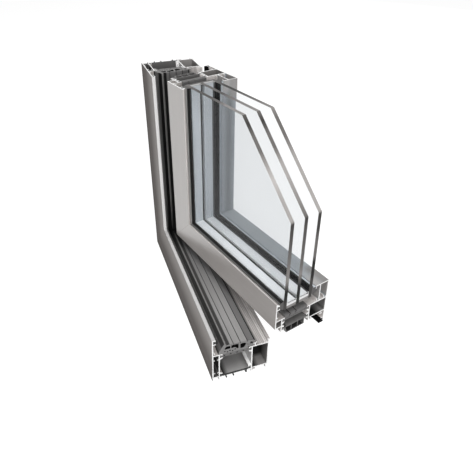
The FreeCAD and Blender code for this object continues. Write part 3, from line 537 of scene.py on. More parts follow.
@dataclass(frozen=True)
class Finish:
    """Surface finish of a profile or piece."""

    name: str
    colour: Colour
    cut_colour: Colour
    roughness: float
    cut_roughness: float = 0.5
    metallic: float = 0.0
    specular: float = 0.5
    bending: float = 1.5
    lines: float = 0.0
    line_fineness: float = 2.4
    streaks: float = 0.05
    grain: float = 0.05
    fineness: float = 2600.0
    drift: float = 0.04
    fleck: float = 0.0
    fleck_share: float = 0.3
    fleck_colour: Colour = (0.3, 0.3, 0.3)
    fleck_body: float = 0.0
    seam: float = 0.0
    seam_width: float = 0.22
    seam_shade: float = 0.15
    sawn_range: tuple[float, float] = (0.92, 1.04)
    sawn_fleck: float = 0.7
    sawn_relief: float = 0.25
    cell_relief: float = 0.6
    gloss_drift: float = 0.08
    relief: float = 0.2
    relief_strength: float = 0.5
    patches: tuple[Patch, ...] = ()

    def body(self, surface: Surface, cut: object, grain: object, lines: object) -> bpy.types.NodeSocket:
        """Colour away from and on the sawn end.

        Args:
            surface: The place nodes.
            cut: Outputs of the sawn end group.
            grain: Outputs of the grain group.
            lines: Outputs of the die lines group.

        Returns:
            The colour.
        """
        nodes, effects = surface.nodes, surface.effects
        colour = solid(self.colour)
        for patch in (p for p in self.patches if not p.sawn):
            colour = nodes.mix(surface.zone(patch), colour, solid(patch.colour))
        shade = nodes.math("MULTIPLY_ADD", grain["Drift"], 2.0 * self.drift, 1.0 - self.drift)
        streak = nodes.math("MULTIPLY_ADD", lines["Streaks"], 2.0 * self.streaks, 1.0 - self.streaks)
        tone = nodes.math("MULTIPLY", shade, streak)
        colour = nodes.vector("MULTIPLY", colour, nodes.combine(tone, tone, tone))
        if self.fleck:
            spots = nodes.group(effects.flecks, Size=self.fleck, Share=self.fleck_share)["Spots"]
            colour = nodes.mix(nodes.math("MULTIPLY", spots, self.fleck_body), colour, solid(self.fleck_colour))
        if self.seam:
            line = nodes.group(effects.mitre, Length=surface.length, Height=surface.height,
                               Width=self.seam_width)["Line"]
            colour = nodes.mix(nodes.math("MULTIPLY", line, self.seam), colour,
                               solid(scaled(self.colour, self.seam_shade)))
        dark, light = (solid(scaled(self.cut_colour, part)) for part in self.sawn_range)
        sawn = nodes.mix(cut["Marks"], dark, light)
        if self.fleck:
            sawn = nodes.mix(nodes.math("MULTIPLY", spots, self.sawn_fleck), sawn, solid(self.fleck_colour))
        for patch in (p for p in self.patches if p.sawn):
            sawn = nodes.mix(surface.zone(patch), sawn, solid(patch.colour))
        return nodes.mix(cut["Mask"], colour, sawn)

    def material(self, effects: Effects, run: Run) -> bpy.types.Material:
        """Builds the material for one leg.

        Args:
            effects: Shared node groups.
            run: The leg.

        Returns:
            The material.
        """
        material, shader = new_material(self.name + "_" + run.value)
        surface = Surface.start(material, effects, run)
        nodes = surface.nodes
        sawn = run in (Run.SILL, Run.JAMB, Run.RAIL, Run.STILE)
        cut = nodes.group(effects.sawn_end, Length=surface.length, Height=surface.height, Depth=surface.depth,
                          Cut=CORNER.cut - END_MARGIN if sawn else BEYOND)
        grain = nodes.group(effects.grain, Fineness=self.fineness)
        lines = nodes.group(effects.die_lines, Length=surface.length, Height=surface.height, Depth=surface.depth,
                            Fineness=self.line_fineness)
        nodes.put(shader.inputs["Base Color"], self.body(surface, cut, grain, lines))
        rough = nodes.math("MULTIPLY_ADD", grain["Drift"], self.gloss_drift, self.roughness - self.gloss_drift / 2.0)
        sawn_part = nodes.math("MULTIPLY", cut["Mask"], self.cut_roughness - self.roughness)
        nodes.put(shader.inputs["Roughness"], nodes.math("ADD", rough, sawn_part))
        nodes.fill(shader, {"Metallic": self.metallic, "Specular IOR Level": self.specular, "IOR": self.bending})
        height = nodes.math("MULTIPLY", grain["Fine"], self.grain)
        if self.lines:
            height = nodes.math("MULTIPLY_ADD", lines["Lines"], self.lines, height)
        marks = nodes.math("MULTIPLY", cut["Marks"], cut["Mask"])
        height = nodes.math("MULTIPLY_ADD", marks, self.sawn_relief, height)
        if self.fleck_body:
            walls = nodes.group(effects.flecks, Size=self.fleck, Share=self.fleck_share)["Walls"]
            height = nodes.math("MULTIPLY_ADD", walls, self.cell_relief, height)
        nodes.bump(shader, height, self.relief, self.relief_strength)
        return material


@dataclass(frozen=True)
class ClearGlass:
    """Clear float glass that lets lamps through and shifts what is behind it a little."""

    name: str = "clear_glass"
    tint: Colour = (0.874, 0.882, 0.888)
    lamp_share: Colour = (0.90, 0.905, 0.91)
    bending: float = 1.13
    drift: float = 0.005
    fineness: float = 60.0

    def material(self, effects: Effects, run: Run) -> bpy.types.Material:
        """Builds the glass.

        Args:
            effects: Shared node groups.
            run: Leg of the panes, not used.

        Returns:
            The material.
        """
        material, shader = new_material(self.name)
        nodes = Nodes(material.node_tree)
        grain = nodes.group(effects.grain, Fineness=self.fineness)
        nodes.put(shader.inputs["Base Color"], nodes.mix(grain["Drift"], solid(scaled(self.tint, 1.0 - self.drift)),
                                                         solid(scaled(self.tint, 1.0 + self.drift))))
        nodes.fill(shader, {"Roughness": 0.0, "IOR": self.bending, "Transmission Weight": 1.0,
                            "Specular Tint": (0.0, 0.0, 0.0, 1.0)})
        clear = nodes.add("ShaderNodeBsdfTransparent")
        nodes.put(clear.inputs["Color"], solid(self.lamp_share))
        path = nodes.add("ShaderNodeLightPath")
        mixed = nodes.add("ShaderNodeMixShader")
        nodes.put(mixed.inputs[0], path.outputs["Is Shadow Ray"])
        nodes.put(mixed.inputs[1], shader.outputs[0])
        nodes.put(mixed.inputs[2], clear.outputs[0])
        nodes.put(material.node_tree.nodes["Material Output"].inputs["Surface"], mixed.outputs[0])
        return material


@dataclass(frozen=True)
class GroundEdgePaintedReflection:
    """Ground edge of a pane, whose tone changes along the pane's outline in dark and light stretches of painted
    reflection.
    """

    name: str
    along_top: tuple[tuple[float, Colour], ...]
    downward: tuple[tuple[float, Colour], ...]
    roughness: float = 0.35
    gloss_drift: float = 0.2
    tone_drift: float = 0.3
    drift_scale: float = 0.05
    specular: float = 0.1
    fineness: float = 4000.0
    relief: float = 0.05
    relief_strength: float = 0.4

    @staticmethod
    def ramp(nodes: Nodes, place: object, stops: tuple[tuple[float, Colour], ...]) -> bpy.types.NodeSocket:
        """Adds a colour ramp.

        Args:
            nodes: Nodes of the material.
            place: Output that runs through the ramp from 0 to 1.
            stops: Places and tones, the first at 0.

        Returns:
            The colour.
        """
        node = nodes.add("ShaderNodeValToRGB")
        elements = node.color_ramp.elements
        elements.remove(elements[1])
        elements[0].position, elements[0].color = 0.0, solid(stops[0][1])
        for position, colour in stops[1:]:
            elements.new(position).color = solid(colour)
        nodes.put(node.inputs[0], place)
        return node.outputs[0]

    def material(self, effects: Effects, run: Run) -> bpy.types.Material:
        """Builds the edge's material.

        Args:
            effects: Shared node groups.
            run: Leg of the panes.

        Returns:
            The material.
        """
        material, shader = new_material(self.name)
        surface = Surface.start(material, effects, run)
        nodes = surface.nodes
        span = CORNER.cut - CORNER.sash_edge
        top = CORNER.cut - CORNER.pane_corner_cut - CORNER.pane_edge
        down = nodes.math("DIVIDE", nodes.math("SUBTRACT", CORNER.cut, surface.height), span, clamp=True)
        across = nodes.math("DIVIDE", nodes.math("SUBTRACT", surface.length, CORNER.pane_edge), top, clamp=True)
        on_top = nodes.math("GREATER_THAN", surface.height, CORNER.cut - END_MARGIN)
        slow = nodes.combine(nodes.math("MULTIPLY", surface.length, self.drift_scale),
                             nodes.math("MULTIPLY", surface.height, self.drift_scale), surface.depth)
        drift = nodes.noise(slow, 1.0)
        tone = nodes.math("MULTIPLY_ADD", drift, self.tone_drift, 1.0 - self.tone_drift / 2.0)
        # Painted reflections: tone stops along the top edge and down the side and corner cut.
        colour = nodes.mix(on_top, self.ramp(nodes, down, self.downward), self.ramp(nodes, across, self.along_top))
        nodes.put(shader.inputs["Base Color"], nodes.vector("MULTIPLY", colour, nodes.combine(tone, tone, tone)))
        nodes.put(shader.inputs["Roughness"], nodes.math("MULTIPLY_ADD", drift, self.gloss_drift,
                                                         self.roughness - self.gloss_drift / 2.0))
        nodes.put(shader.inputs["Specular IOR Level"], self.specular)
        grain = nodes.group(effects.grain, Fineness=self.fineness)
        nodes.bump(shader, grain["Fine"], self.relief, self.relief_strength)
        return material


BARE = (0.93, 0.93, 0.925)
BLACK = (0.006, 0.006, 0.006)


def exterior_coat_and_painted_light(lip: float) -> Finish:
    """Coating of a frame leg's exterior shell, with a painted reflection that is darker at its foot and lighter
    toward its lip, a painted highlight on the lip and painted shade in its outer chamber.

    Args:
        lip: Tone of the painted highlight on the lip.

    Returns:
        The finish.
    """
    # Painted reflection darker at the foot and lighter toward the lip, painted highlight on the lip, painted shade
    # inside the outer chamber.
    patches = (Patch((-20.0, -30.0), (20.0, 10.0), (0.23, 0.212, 0.204), 14.0),
               Patch((-20.0, 45.0), (20.0, 90.0), (0.56, 0.53, 0.512), 34.0),
               Patch((-1.0, 73.0), (14.0, 80.0), (lip, lip * 0.99, lip * 0.985), 1.0),
               Patch((1.4, 6.4), (8.8, 45.6), (0.09, 0.087, 0.085)))
    return Finish("frame_coating_and_painted_light", (0.30, 0.277, 0.266), BARE, 0.5, specular=0.0, lines=0.05, seam=0.8,
                  patches=patches)


def inside_coat(tube: Colour, mouth: Colour) -> Finish:
    """Coating of a frame leg's interior shell, with painted shade deep in its tube, painted light at the tube's mouth
    and painted shade and light on the ledge.

    Args:
        tube: Tone of the painted shade deep in the tube.
        mouth: Tone of the painted light in the tube's open end.

    Returns:
        The finish.
    """
    # Painted shade deep in the tube, painted light at its mouth by the cut end, lighter tones on the tube's outer
    # wall and a near-white mark below it, the painted shadow of the T-post on the ledge, painted light on the ledge's
    # far part and painted shade lines across it.
    patches = (Patch((54.4, 7.0), (75.6, 45.6), tube),
               Patch((62.0, 7.0), (75.6, 45.6), mouth, 6.0, reach=(308.0, 400.0)),
               Patch((51.0, 14.2), (54.3, 46.0), (0.66, 0.65, 0.645), 0.3),
               Patch((49.0, 11.0), (53.4, 14.2), (0.98, 0.98, 0.975), 0.3),
               Patch((56.0, 46.5), (63.5, 58.0), (0.26, 0.247, 0.24), 3.0),
               Patch((71.0, 46.5), (76.0, 48.0), (0.93, 0.90, 0.885), 2.0),
               *(Patch((place, 46.0), (place + 0.5, 47.6), (0.30, 0.285, 0.28), 0.25)
                 for place in (62.6, 65.4, 67.6, 69.7, 72.8)))
    return Finish("frame_inside_coating_and_painted_light", (0.60, 0.57, 0.555), BARE, 0.40, specular=0.3, lines=0.12, seam=0.8,
                  patches=patches)


def spots(*places: tuple[float, float]) -> tuple[Patch, ...]:
    """Shaded rims round small cells, seen on the sawn end.

    Args:
        *places: Depth and height of the middle of each cell.

    Returns:
        The patches.
    """
    return tuple(Patch((depth - 0.9, height - 0.9), (depth + 0.9, height + 0.9), BLACK, 0.3, True)
                 for depth, height in places)


def grey_rubber_and_painted_light(base: Colour, start: Colour, fin: Colour, groove: Colour, bands: Colour, near: Colour) -> Finish:
    """Sealing rubber of the centre gasket, with a slanted flank, a fin and broad bands on top, and painted shade and
    light on them.

    Args:
        base: Tone of the flank, a painted shade.
        start: Tone of the painted light where the flank starts.
        fin: Tone of the painted highlight on the fin.
        groove: Tone of the fin's painted shadow behind it.
        bands: Tone of the bands.
        near: Tone of the painted light on the bands by the cut end.

    Returns:
        The finish.
    """
    # Painted light where the flank starts, painted highlight on the fin, the fin's painted shadow, painted light on
    # the bands by the cut end, painted shade on the last band, black in the recess by the T-post, painted shade in
    # the grooves and cells and painted shade near the corner.
    patches = (Patch((9.0, 44.0), (12.6, 58.6), start, 1.0),
               Patch((16.1, 58.4), (19.4, 66.0), fin, 0.6),
               Patch((19.5, 58.4), (22.4, 62.0), groove, 1.2),
               Patch((23.4, 59.4), (46.2, 62.0), bands, 1.2),
               Patch((23.4, 59.4), (46.2, 62.0), near, 1.2, reach=(230.0, BEYOND), fade=110.0),
               Patch((46.6, 55.0), (58.0, 60.4), scaled(bands, 0.85), 1.5),
               Patch((55.6, 55.0), (58.0, 60.4), BLACK, 0.8),
               *(Patch((place, 59.0), (place + 0.8, 62.0), scaled(bands, 0.25), 0.3) for place in (27.6, 36.8, 46.1)),
               Patch((17.4, 47.4), (47.6, 58.2), BLACK, 0.2),
               Patch((9.0, 44.0), (58.0, 66.0), BLACK, 1.0, reach=(BEFORE, 95.0), fade=60.0),
               *spots((16.8, 50.1), (20.2, 48.5), (23.7, 50.1), (27.1, 48.5), (30.6, 50.1)))
    return Finish("grey_rubber_and_painted_light", base, (0.235, 0.231, 0.229), 0.62, 0.75, specular=0.1, lines=0.35, grain=0.12,
                  streaks=0.10, patches=patches)


def polyamide(base: Colour, *patches: Patch) -> Finish:
    """Glass-filled polyamide of an insulating strip.

    Args:
        base: Its tone.
        *patches: Parts whose tone differs.

    Returns:
        The finish.
    """
    return Finish("polyamide", base, (0.14, 0.137, 0.135), 0.5, specular=0.2, lines=0.2, fleck=0.35,
                  fleck_share=0.22, patches=patches)


def glazing_rubber_and_painted_light(base: float, edge: float, far: float) -> Finish:
    """Sealing rubber along the panes, with a painted highlight on its exterior edge, painted shade in the gaps beside
    it and painted light on the inner gasket's top, where the bead's light falls.

    Args:
        base: Its tone.
        edge: Tone of the painted highlight on its exterior edge.
        far: Tone of the painted light on the inner gasket's top.

    Returns:
        The finish.
    """
    # Painted highlight on the exterior edge, painted shade in the gaps beside it, a small darker mark on the inner
    # gasket and painted light on its top.
    return Finish("glazing_rubber_and_painted_light", (base, base, base * 0.99), (0.12, 0.117, 0.115), 0.55, specular=0.05, lines=0.2,
                  grain=0.08, patches=(
                      Patch((4.0, 112.0), (6.0, 121.0), (edge, edge * 0.98, edge * 0.965), 0.8),
                      Patch((10.2, 112.0), (11.4, 122.0), (0.04, 0.039, 0.038), 0.6),
                      Patch((7.4, 112.0), (8.9, 122.0), BLACK, 0.6),
                      Patch((55.2, 115.2), (55.7, 116.4), (0.09, 0.088, 0.086), 0.3),
                      Patch((58.2, 112.0), (63.0, 122.0), (far, far * 1.055, far * 1.11), 0.6)))


def foam(tone: float, *patches: Patch) -> Finish:
    """Closed-cell foam.

    Args:
        tone: Its tone.
        *patches: Parts whose tone differs.

    Returns:
        The finish.
    """
    return Finish("foam", (tone, tone * 0.985, tone * 0.975), (0.18, 0.175, 0.175), 0.9, 0.9, specular=0.2, grain=0.3,
                  fleck=0.55, fleck_share=0.33, fleck_colour=(0.05, 0.05, 0.05), fleck_body=0.7, patches=patches)


def foil(base: Colour, side: Colour, bare: float) -> Finish:
    """Foil of a spacer, with the black primary seal along the middle and the inner pane, and painted light on its
    side.

    Args:
        base: Its tone.
        side: Tone of the painted light on its side.
        bare: Tone of its sawn end.

    Returns:
        The finish.
    """
    # Painted light on the spacer's side; the black lines are the real seals.
    return Finish("spacer_foil_and_painted_light", base, (bare, bare, bare), 0.35, metallic=0.2, lines=0.08, seam=0.6, patches=(
        Patch((35.0, 100.0), (36.0, 117.4), side, 0.2), Patch((28.5, 100.0), (31.0, 118.0), BLACK, 0.3),
        Patch((48.0, 100.0), (51.6, 118.0), (0.03, 0.03, 0.03), 0.3)))


def finishes() -> dict[str, dict[Run | None, Finish | ClearGlass]]:
    """Finish of each material slot of the record, by leg where it differs.

    Returns:
        The finishes by slot name and leg, with None for every other leg.
    """
    edge = CORNER.sash_edge
    foot = Patch((9.0, -2.0), (54.0, 12.0), (0.02, 0.02, 0.02), sawn=True)
    # Painted shade in the grooves on the rail foam's top and a painted shade line between the foam and the strip on
    # the sawn end.
    grooves = (Patch((21.0, 91.6), (36.0, 94.8), BLACK, 0.1),
               Patch((15.0, edge + 10.4), (51.0, edge + 11.1), BLACK, 0.2, True))
    feet = Patch((9.0, -2.0), (54.0, 8.2), BLACK, 0.3)
    # Painted shade in the small chambers of the top strip, as a black band on its faces and rims on the sawn end.
    cells = (Patch((14.0, 42.6), (48.0, 44.9), BLACK, 0.2),
             *spots((16.2, 43.7), (24.7, 43.7), (33.2, 43.7), (41.7, 43.7)))
    sash_coat = Finish("sash_coating", (0.46, 0.432, 0.415), BARE, 0.25, specular=1.0, bending=1.8, lines=0.05,
                       seam=0.8)
    sash_inside = Finish("sash_inside_coating_and_painted_shade", (0.58, 0.55, 0.535), BARE, 0.40, specular=0.3, lines=0.12, seam=0.8)
    lip_rubber = Finish("lip_rubber", (0.058, 0.057, 0.056), (0.03, 0.03, 0.03), 0.6, specular=0.2, lines=0.3,
                        grain=0.12)
    # Painted shade in the sash tubes: near black in the rail's tube with painted light toward its interior side,
    # black over the claw by the overlap gasket, and dark grey in the stile's tube.
    rail_tube = (Patch((56.4, edge - 8.6), (83.2, edge + 11.9), (0.012, 0.012, 0.012)),
                 Patch((74.0, edge - 8.6), (83.2, edge + 11.9), (0.36, 0.35, 0.343), 9.0),
                 Patch((78.6, 46.0), (82.8, 55.6), BLACK, 0.2), Patch((78.6, 46.0), (82.8, 55.6), BLACK, 0.2, True))
    stile_tube = (Patch((56.4, edge - 8.6), (83.2, edge + 11.9), (0.19, 0.18, 0.174)),)
    bead_hollow = Patch((63.6, 96.0), (83.3, 119.0), (0.42, 0.405, 0.395), 0.3)
    # By the cut end, painted light on the bead's side toward the panes and painted shade on its interior side.
    bead = Finish("bead_coating_and_painted_light", (0.328, 0.351, 0.366), BARE, 0.40, lines=0.05, seam=0.8, patches=(
        Patch((60.0, 112.0), (73.0, 128.0), (0.36, 0.35, 0.343), 6.0, reach=(306.0, BEYOND), fade=10.0),
        Patch((73.0, 112.0), (90.0, 128.0), (0.20, 0.194, 0.19), 9.0, reach=(290.0, BEYOND), fade=10.0), bead_hollow))
    return {
        "exterior_aluminium": {
            Run.SILL: exterior_coat_and_painted_light(0.57), Run.JAMB: exterior_coat_and_painted_light(0.66),
            # On the rail, painted shade in the outer chamber.
            Run.RAIL: replace(sash_coat, patches=(
                Patch((1.4, edge + 1.4), (9.8, edge + 12.0), (0.16, 0.15, 0.145)),)),
            None: sash_coat},
        "interior_aluminium": {
            # Painted shade in the frame tubes is near black on the sill and dark grey on the jamb; painted light at
            # their mouths is brighter on the sill.
            Run.SILL: inside_coat((0.03, 0.029, 0.028), (0.42, 0.405, 0.395)),
            Run.JAMB: inside_coat((0.22, 0.21, 0.205), (0.30, 0.29, 0.283)),
            Run.RAIL: replace(sash_inside, patches=rail_tube), None: replace(sash_inside, patches=stile_tube)},
        "bead_aluminium": {
            # On the stile, painted shade on the bead's interior side along its length, besides the painted light and
            # shade by the cut end.
            Run.STILE: replace(bead, colour=(0.325, 0.341, 0.36), patches=(
                Patch((69.5, 110.0), (79.0, 132.0), (0.19, 0.203, 0.212), 6.0),
                Patch((60.0, 112.0), (73.0, 128.0), (0.36, 0.35, 0.343), 6.0, reach=(309.0, BEYOND), fade=8.0),
                Patch((73.0, 112.0), (90.0, 128.0), (0.27, 0.262, 0.257), 6.0, reach=(299.0, BEYOND), fade=8.0),
                bead_hollow)),
            None: bead},
        "insulating_strip": {
            # On the sill the strip is a lighter, painted-light copy, with painted shade by the outer wall, a painted
            # shadow that reaches deeper away from the cut end, and a darker stretch by the inner wall.
            Run.SILL: polyamide((0.30, 0.295, 0.292), Patch((0.0, 2.0), (19.0, 13.2), (0.01, 0.01, 0.01), 7.0),
                                Patch((0.0, -2.0), (30.0, 17.2), (0.03, 0.03, 0.03), 12.0, reach=(BEFORE, 298.0),
                                      fade=16.0),
                                Patch((46.0, 6.0), (53.0, 12.0), (0.14, 0.137, 0.135), 8.0), foot, feet, *cells),
            Run.JAMB: polyamide((0.11, 0.108, 0.107), foot, feet, *cells),
            # On the rail, painted shade in the strip's chambers.
            Run.RAIL: polyamide((0.17, 0.166, 0.163),
                                Patch((14.0, edge - 6.0), (19.0, edge - 3.0), BLACK, 2.0),
                                Patch((17.0, edge - 14.1), (46.6, edge - 5.0), (0.03, 0.029, 0.029), 0.2)),
            None: polyamide((0.13, 0.127, 0.125))},
        "centre_gasket": {
            # On the jamb, where the sash shades it, the centre gasket is a painted-shade copy with a black flank and
            # groove and darker bands and fin.
            Run.JAMB: grey_rubber_and_painted_light(BLACK, (0.12, 0.117, 0.116), (0.26, 0.255, 0.25), BLACK, (0.14, 0.137, 0.136),
                                  (0.14, 0.137, 0.136)),
            None: grey_rubber_and_painted_light((0.05, 0.049, 0.048), (0.16, 0.157, 0.156), (0.30, 0.295, 0.29), (0.05, 0.049, 0.048),
                              (0.20, 0.196, 0.195), (0.30, 0.295, 0.292))},
        "rebate_gasket": {
            Run.SILL: lip_rubber, Run.JAMB: replace(lip_rubber, colour=(0.08, 0.079, 0.078)),
            None: Finish("black_rubber", BLACK, BLACK, 0.55, specular=0.0, lines=0.2, grain=0.08)},
        "glazing_gasket": {Run.STILE: glazing_rubber_and_painted_light(0.02, 0.28, 0.47), None: glazing_rubber_and_painted_light(0.03, 0.14, 0.64)},
        # On the stile the spacer is a darker, painted-shade copy, with dimmer painted light on its side and a darker
        # sawn end.
        "spacer_metal": {Run.STILE: foil((0.35, 0.37, 0.39), (0.68, 0.71, 0.74), 0.5),
                         None: foil((0.615, 0.628, 0.638), (0.98, 0.98, 0.98), 0.78)},
        "edge_sealant": {
            Run.STILE: Finish("sealant", (0.50, 0.505, 0.51), (0.10, 0.096, 0.094), 0.8, 0.8, grain=0.3, drift=0.12),
            None: Finish("sealant", (0.30, 0.295, 0.295), (0.24, 0.23, 0.225), 0.8, 0.8, grain=0.3, drift=0.12)},
        "rebate_foam": {
            Run.RAIL: foam(0.17, *grooves), None: foam(0.14)},
        "setting_block": {None: Finish("block_plastic", (0.05, 0.05, 0.05), (0.05, 0.05, 0.05), 0.5)},
        "cleat_aluminium": {None: Finish("cast_metal", (0.5, 0.5, 0.5), BARE, 0.5, metallic=0.6, grain=0.3)},
        "hinge_metal": {None: Finish("hinge_coating", (0.42, 0.405, 0.39), BARE, 0.35, grain=0.1)},
        "clear_glass": {None: ClearGlass()},
    }


@dataclass
class Dressing:
    """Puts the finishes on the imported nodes."""

    frame: dict
    effects: Effects
    made: dict[tuple[str, Run], bpy.types.Material] = field(default_factory=dict)

    def dress(self) -> None:
        """Gives every CAD node the material of its slot and leg."""
        slots = {part["node"]: part["material_slot"] for part in self.frame["record"]["subparts"]}
        table = finishes()
        for name, node in sorted(self.frame["nodes"].items()):
            run = run_of(name)
            key = (slots[name], run)
            if key not in self.made:
                by_run = table[slots[name]]
                self.made[key] = by_run.get(run, by_run.get(None)).material(self.effects, run)
            node.data.materials.clear()
            node.data.materials.append(self.made[key])
            LOG.info("dressed %s as %s", name, self.made[key].name)


@dataclass
class GlassEdges:
    """Ground edges of the three panes, as thin bands on their cut sides."""

    effects: Effects
    front: float = 11.4
    pitch: float = 20.0
    thickness: float = 4.0
    proud: float = 0.02
    lap: float = 0.5
    skin: float = 0.08
    facing: float = 0.9

    def tones(self) -> dict[str, GroundEdgePaintedReflection]:
        """Edge finishes of the panes, whose tone stops are painted reflections.

        Returns:
            The finishes by pane, from the exterior to the interior.
        """
        black, dark, dim = (0.006, 0.006, 0.005), (0.045, 0.042, 0.04), (0.09, 0.085, 0.081)
        brown, soft = (0.14, 0.132, 0.127), (0.25, 0.238, 0.23)
        light, bright = (0.34, 0.325, 0.315), (0.44, 0.42, 0.41)
        return {
            "outer": GroundEdgePaintedReflection("outer_pane_edge_painted_reflection", (
                (0.0, brown), (0.12, dim), (0.35, dark), (0.6, dim), (0.72, soft), (1.0, soft)), (
                (0.0, dim), (0.035, dark), (0.08, brown), (0.13, brown), (0.19, light), (0.23, bright), (0.31, light),
                (0.37, light), (0.385, dark), (0.48, dim), (0.57, brown), (0.71, soft), (0.745, dim), (0.77, black),
                (0.82, black), (0.86, dark))),
            "middle": GroundEdgePaintedReflection("middle_pane_edge_painted_reflection", (
                (0.0, dim), (0.3, dim), (0.42, dark), (0.55, brown), (1.0, soft)), (
                (0.0, brown), (0.035, dark), (0.08, brown), (0.13, brown), (0.19, light), (0.23, light),
                (0.31, soft), (0.37, brown), (0.38, dark), (0.46, dim), (0.64, brown), (0.70, soft), (0.735, dim),
                (0.775, black), (0.88, black))),
            "inner": GroundEdgePaintedReflection("inner_pane_edge_painted_reflection", (
                (0.0, brown), (0.18, dark), (0.27, black), (0.4, black), (0.6, dim), (0.8, brown), (1.0, soft)), (
                (0.0, soft), (0.035, brown), (0.1, brown), (0.19, light), (0.37, light), (0.385, dark), (0.47, dark),
                (0.53, brown), (0.63, brown), (0.66, black), (0.75, black), (0.78, dark), (0.88, dark))),
        }

    def band(self) -> bpy.types.Object:
        """Models the band round the outer pane, which the other two copy.

        Returns:
            The band in its place.
        """
        low = CORNER.pane_edge
        high = CORNER.cut + self.proud
        size = Vector((high - low, self.thickness + 2.0 * self.lap, high - low)) * MM
        middle = Vector(((low + high) / 2.0, self.front + self.thickness / 2.0, (low + high) / 2.0)) * MM
        bpy.ops.object.select_all(action="DESELECT")
        bpy.ops.mesh.primitive_cube_add(size=1.0, location=middle, scale=size)
        piece = bpy.context.object
        bpy.ops.object.transform_apply(location=True, rotation=True, scale=True)
        mesh = piece.data
        bpy.ops.object.mode_set(mode="EDIT")
        bpy.ops.mesh.select_mode(type="EDGE")
        bpy.ops.mesh.select_all(action="DESELECT")
        bpy.ops.object.mode_set(mode="OBJECT")
        for edge in mesh.edges:
            ends = [mesh.vertices[i].co for i in edge.vertices]
            edge.select = all(abs(e.x - high * MM) < TOUCH and abs(e.z - high * MM) < TOUCH for e in ends)
        bpy.ops.object.mode_set(mode="EDIT")
        bpy.ops.mesh.bevel(offset=CORNER.pane_corner_cut * MM, segments=1, affect="EDGES")
        bpy.ops.mesh.select_mode(type="FACE")
        bpy.ops.mesh.select_all(action="DESELECT")
        bpy.ops.object.mode_set(mode="OBJECT")
        for polygon in mesh.polygons:
            across, along, up = polygon.normal.y, polygon.normal.x, polygon.normal.z
            polygon.select = abs(across) > self.facing or min(along, up) < -self.facing
        bpy.ops.object.mode_set(mode="EDIT")
        bpy.ops.mesh.delete(type="FACE")
        bpy.ops.object.mode_set(mode="OBJECT")
        wall = piece.modifiers.new("wall", "SOLIDIFY")
        wall.thickness = self.skin * MM
        wall.offset = -1.0
        bpy.ops.object.modifier_apply(modifier=wall.name)
        piece.matrix_world = CORNER.turn()
        bpy.ops.object.transform_apply(location=True, rotation=True, scale=True)
        return piece

    def build(self) -> None:
        """Models the band, copies it for the other panes and dresses all three."""
        piece = None
        for place, finish in self.tones().items():
            if piece is None:
                piece = self.band()
            else:
                bpy.ops.object.select_all(action="DESELECT")
                piece.select_set(True)
                bpy.context.view_layer.objects.active = piece
                bpy.ops.object.duplicate(linked=False)
                piece = bpy.context.object
                bpy.ops.transform.translate(value=CORNER.axes(Run.GLAZING)[2] * self.pitch * MM)
                bpy.ops.object.transform_apply(location=True, rotation=True, scale=True)
            piece.name = place + "_pane_ground_edge"
            piece.data.materials.clear()
            piece.data.materials.append(finish.material(self.effects, Run.GLAZING))
            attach(piece, "root")
            LOG.info("built %s", piece.name)


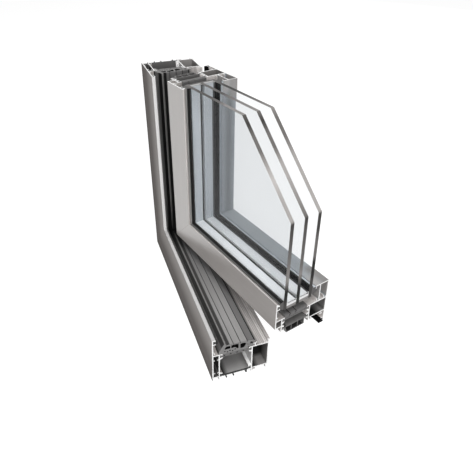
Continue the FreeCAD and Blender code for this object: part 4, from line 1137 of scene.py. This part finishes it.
@dataclass(frozen=True)
class Studio:
    """Camera, floor, world and lights."""

    azimuth: float = math.radians(72.35)
    elevation: float = math.radians(32.5)
    roll: float = math.radians(-0.82)
    eye: tuple[float, float, float] = (717.7 * MM, -122.26 * MM, 523.86 * MM)
    sensor: float = 36.0
    focal_pixels: float = 485.61
    centre_pixels: tuple[float, float] = (212.04, 210.85)
    image: tuple[float, float] = (473.0, 450.0)
    world_level: float = 0.08
    floor_colour: Colour = (0.25, 0.25, 0.25)
    floor_glow: float = 0.92
    floor_size: float = 6.0
    floor_place: tuple[float, float, float] = (0.15, 0.05, -0.2 * MM)
    middle: tuple[float, float, float] = (0.17, 0.05, 0.15)

    def camera(self) -> None:
        """Places the camera where the photographer stood."""
        back = Vector((math.sin(self.azimuth) * math.cos(self.elevation),
                       -math.cos(self.azimuth) * math.cos(self.elevation), math.sin(self.elevation)))
        right = (-back).cross(Vector((0.0, 0.0, 1.0))).normalized()
        up = right.cross(-back)
        turned_right = right * math.cos(self.roll) + up * math.sin(self.roll)
        turned_up = up * math.cos(self.roll) - right * math.sin(self.roll)
        rotation = Matrix((turned_right, turned_up, back)).transposed().to_4x4()
        data = bpy.data.cameras.new("camera")
        data.sensor_width = self.sensor
        data.lens = self.focal_pixels * self.sensor / self.image[0]
        data.shift_x = (self.image[0] / 2.0 - self.centre_pixels[0]) / self.image[0]
        data.shift_y = (self.centre_pixels[1] - self.image[1] / 2.0) / self.image[0]
        camera = bpy.data.objects.new("camera", data)
        camera.matrix_world = Matrix.Translation(Vector(self.eye)) @ rotation
        bpy.context.scene.collection.objects.link(camera)
        bpy.context.scene.camera = camera

    @staticmethod
    def seen(nodes: Nodes) -> bpy.types.NodeSocket:
        """Marks the rays that show the backdrop to the camera, straight or by metal and glass.

        Args:
            nodes: Nodes of the backdrop's material.

        Returns:
            1 for such a ray and 0 for others.
        """
        path = nodes.add("ShaderNodeLightPath")
        shown = nodes.math("MAXIMUM", path.outputs["Is Glossy Ray"], path.outputs["Is Transmission Ray"])
        return nodes.math("MAXIMUM", path.outputs["Is Camera Ray"], shown)

    def world(self) -> None:
        """White backdrop with a plain diffuse level."""
        world = bpy.data.worlds.new("studio")
        world.use_nodes = True
        bpy.context.scene.world = world
        nodes = Nodes(world.node_tree)
        background = world.node_tree.nodes["Background"]
        nodes.put(background.inputs["Color"], (1.0, 1.0, 1.0, 1.0))
        nodes.put(background.inputs["Strength"],
                  nodes.math("MULTIPLY_ADD", self.seen(nodes), 1.0 - self.world_level, self.world_level))

    def floor(self) -> None:
        """Pale floor that keeps a soft shadow."""
        bpy.ops.object.select_all(action="DESELECT")
        bpy.ops.mesh.primitive_plane_add(size=self.floor_size, location=self.floor_place)
        floor = bpy.context.object
        floor.name = "floor"
        material, shader = new_material("floor_white")
        nodes = Nodes(material.node_tree)
        glow = nodes.math("MULTIPLY", self.seen(nodes), self.floor_glow)
        nodes.fill(shader, {"Base Color": solid(self.floor_colour), "Roughness": 0.9, "Specular IOR Level": 0.0,
                            "Emission Color": (1.0, 1.0, 1.0, 1.0), "Emission Strength": glow})
        floor.data.materials.append(material)

    def lamp(self, name: str, toward: tuple[float, float, float], distance: float, size: float, level: float) -> None:
        """Adds a soft square lamp that faces the object.

        Args:
            name: Its name.
            toward: Direction from the object to the lamp.
            distance: Its distance in metres.
            size: Its side in metres.
            level: Light on a white sheet that faces it, where 1 renders white.
        """
        data = bpy.data.lights.new(name, "AREA")
        data.size = size
        data.energy = level * math.pi ** 2 * distance ** 2
        lamp = bpy.data.objects.new(name, data)
        aim = -Vector(toward).normalized()
        lamp.location = Vector(self.middle) - aim * distance
        lamp.rotation_euler = aim.to_track_quat("-Z", "Y").to_euler()
        bpy.context.scene.collection.objects.link(lamp)

    def lights(self) -> None:
        """Soft lamps above, toward the cut ends, at the side, and on the exterior face and the back."""
        self.lamp("above", (0.30, -0.05, 0.95), 2.8, 1.4, 0.62)
        self.lamp("key", (0.76, -0.14, 0.60), 2.8, 1.1, 0.33)
        self.lamp("side", (0.98, -0.05, 0.15), 2.6, 0.9, 0.42)
        self.lamp("exterior_fill", (0.30, -0.93, 0.20), 2.6, 1.4, 0.20)
        self.lamp("back_fill", (-0.50, 0.85, 0.15), 2.6, 0.9, 0.55)


def main() -> None:
    """Dresses the window corner and sets the studio."""
    logging.basicConfig(level=logging.INFO, format="%(name)s: %(message)s")
    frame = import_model()
    scene = bpy.context.scene
    scene.view_settings.view_transform = "Standard"
    effects = Effects()
    Dressing(frame, effects).dress()
    GlassEdges(effects).build()
    studio = Studio()
    studio.camera()
    studio.world()
    studio.floor()
    studio.lights()


if __name__ == "__main__":
    main()
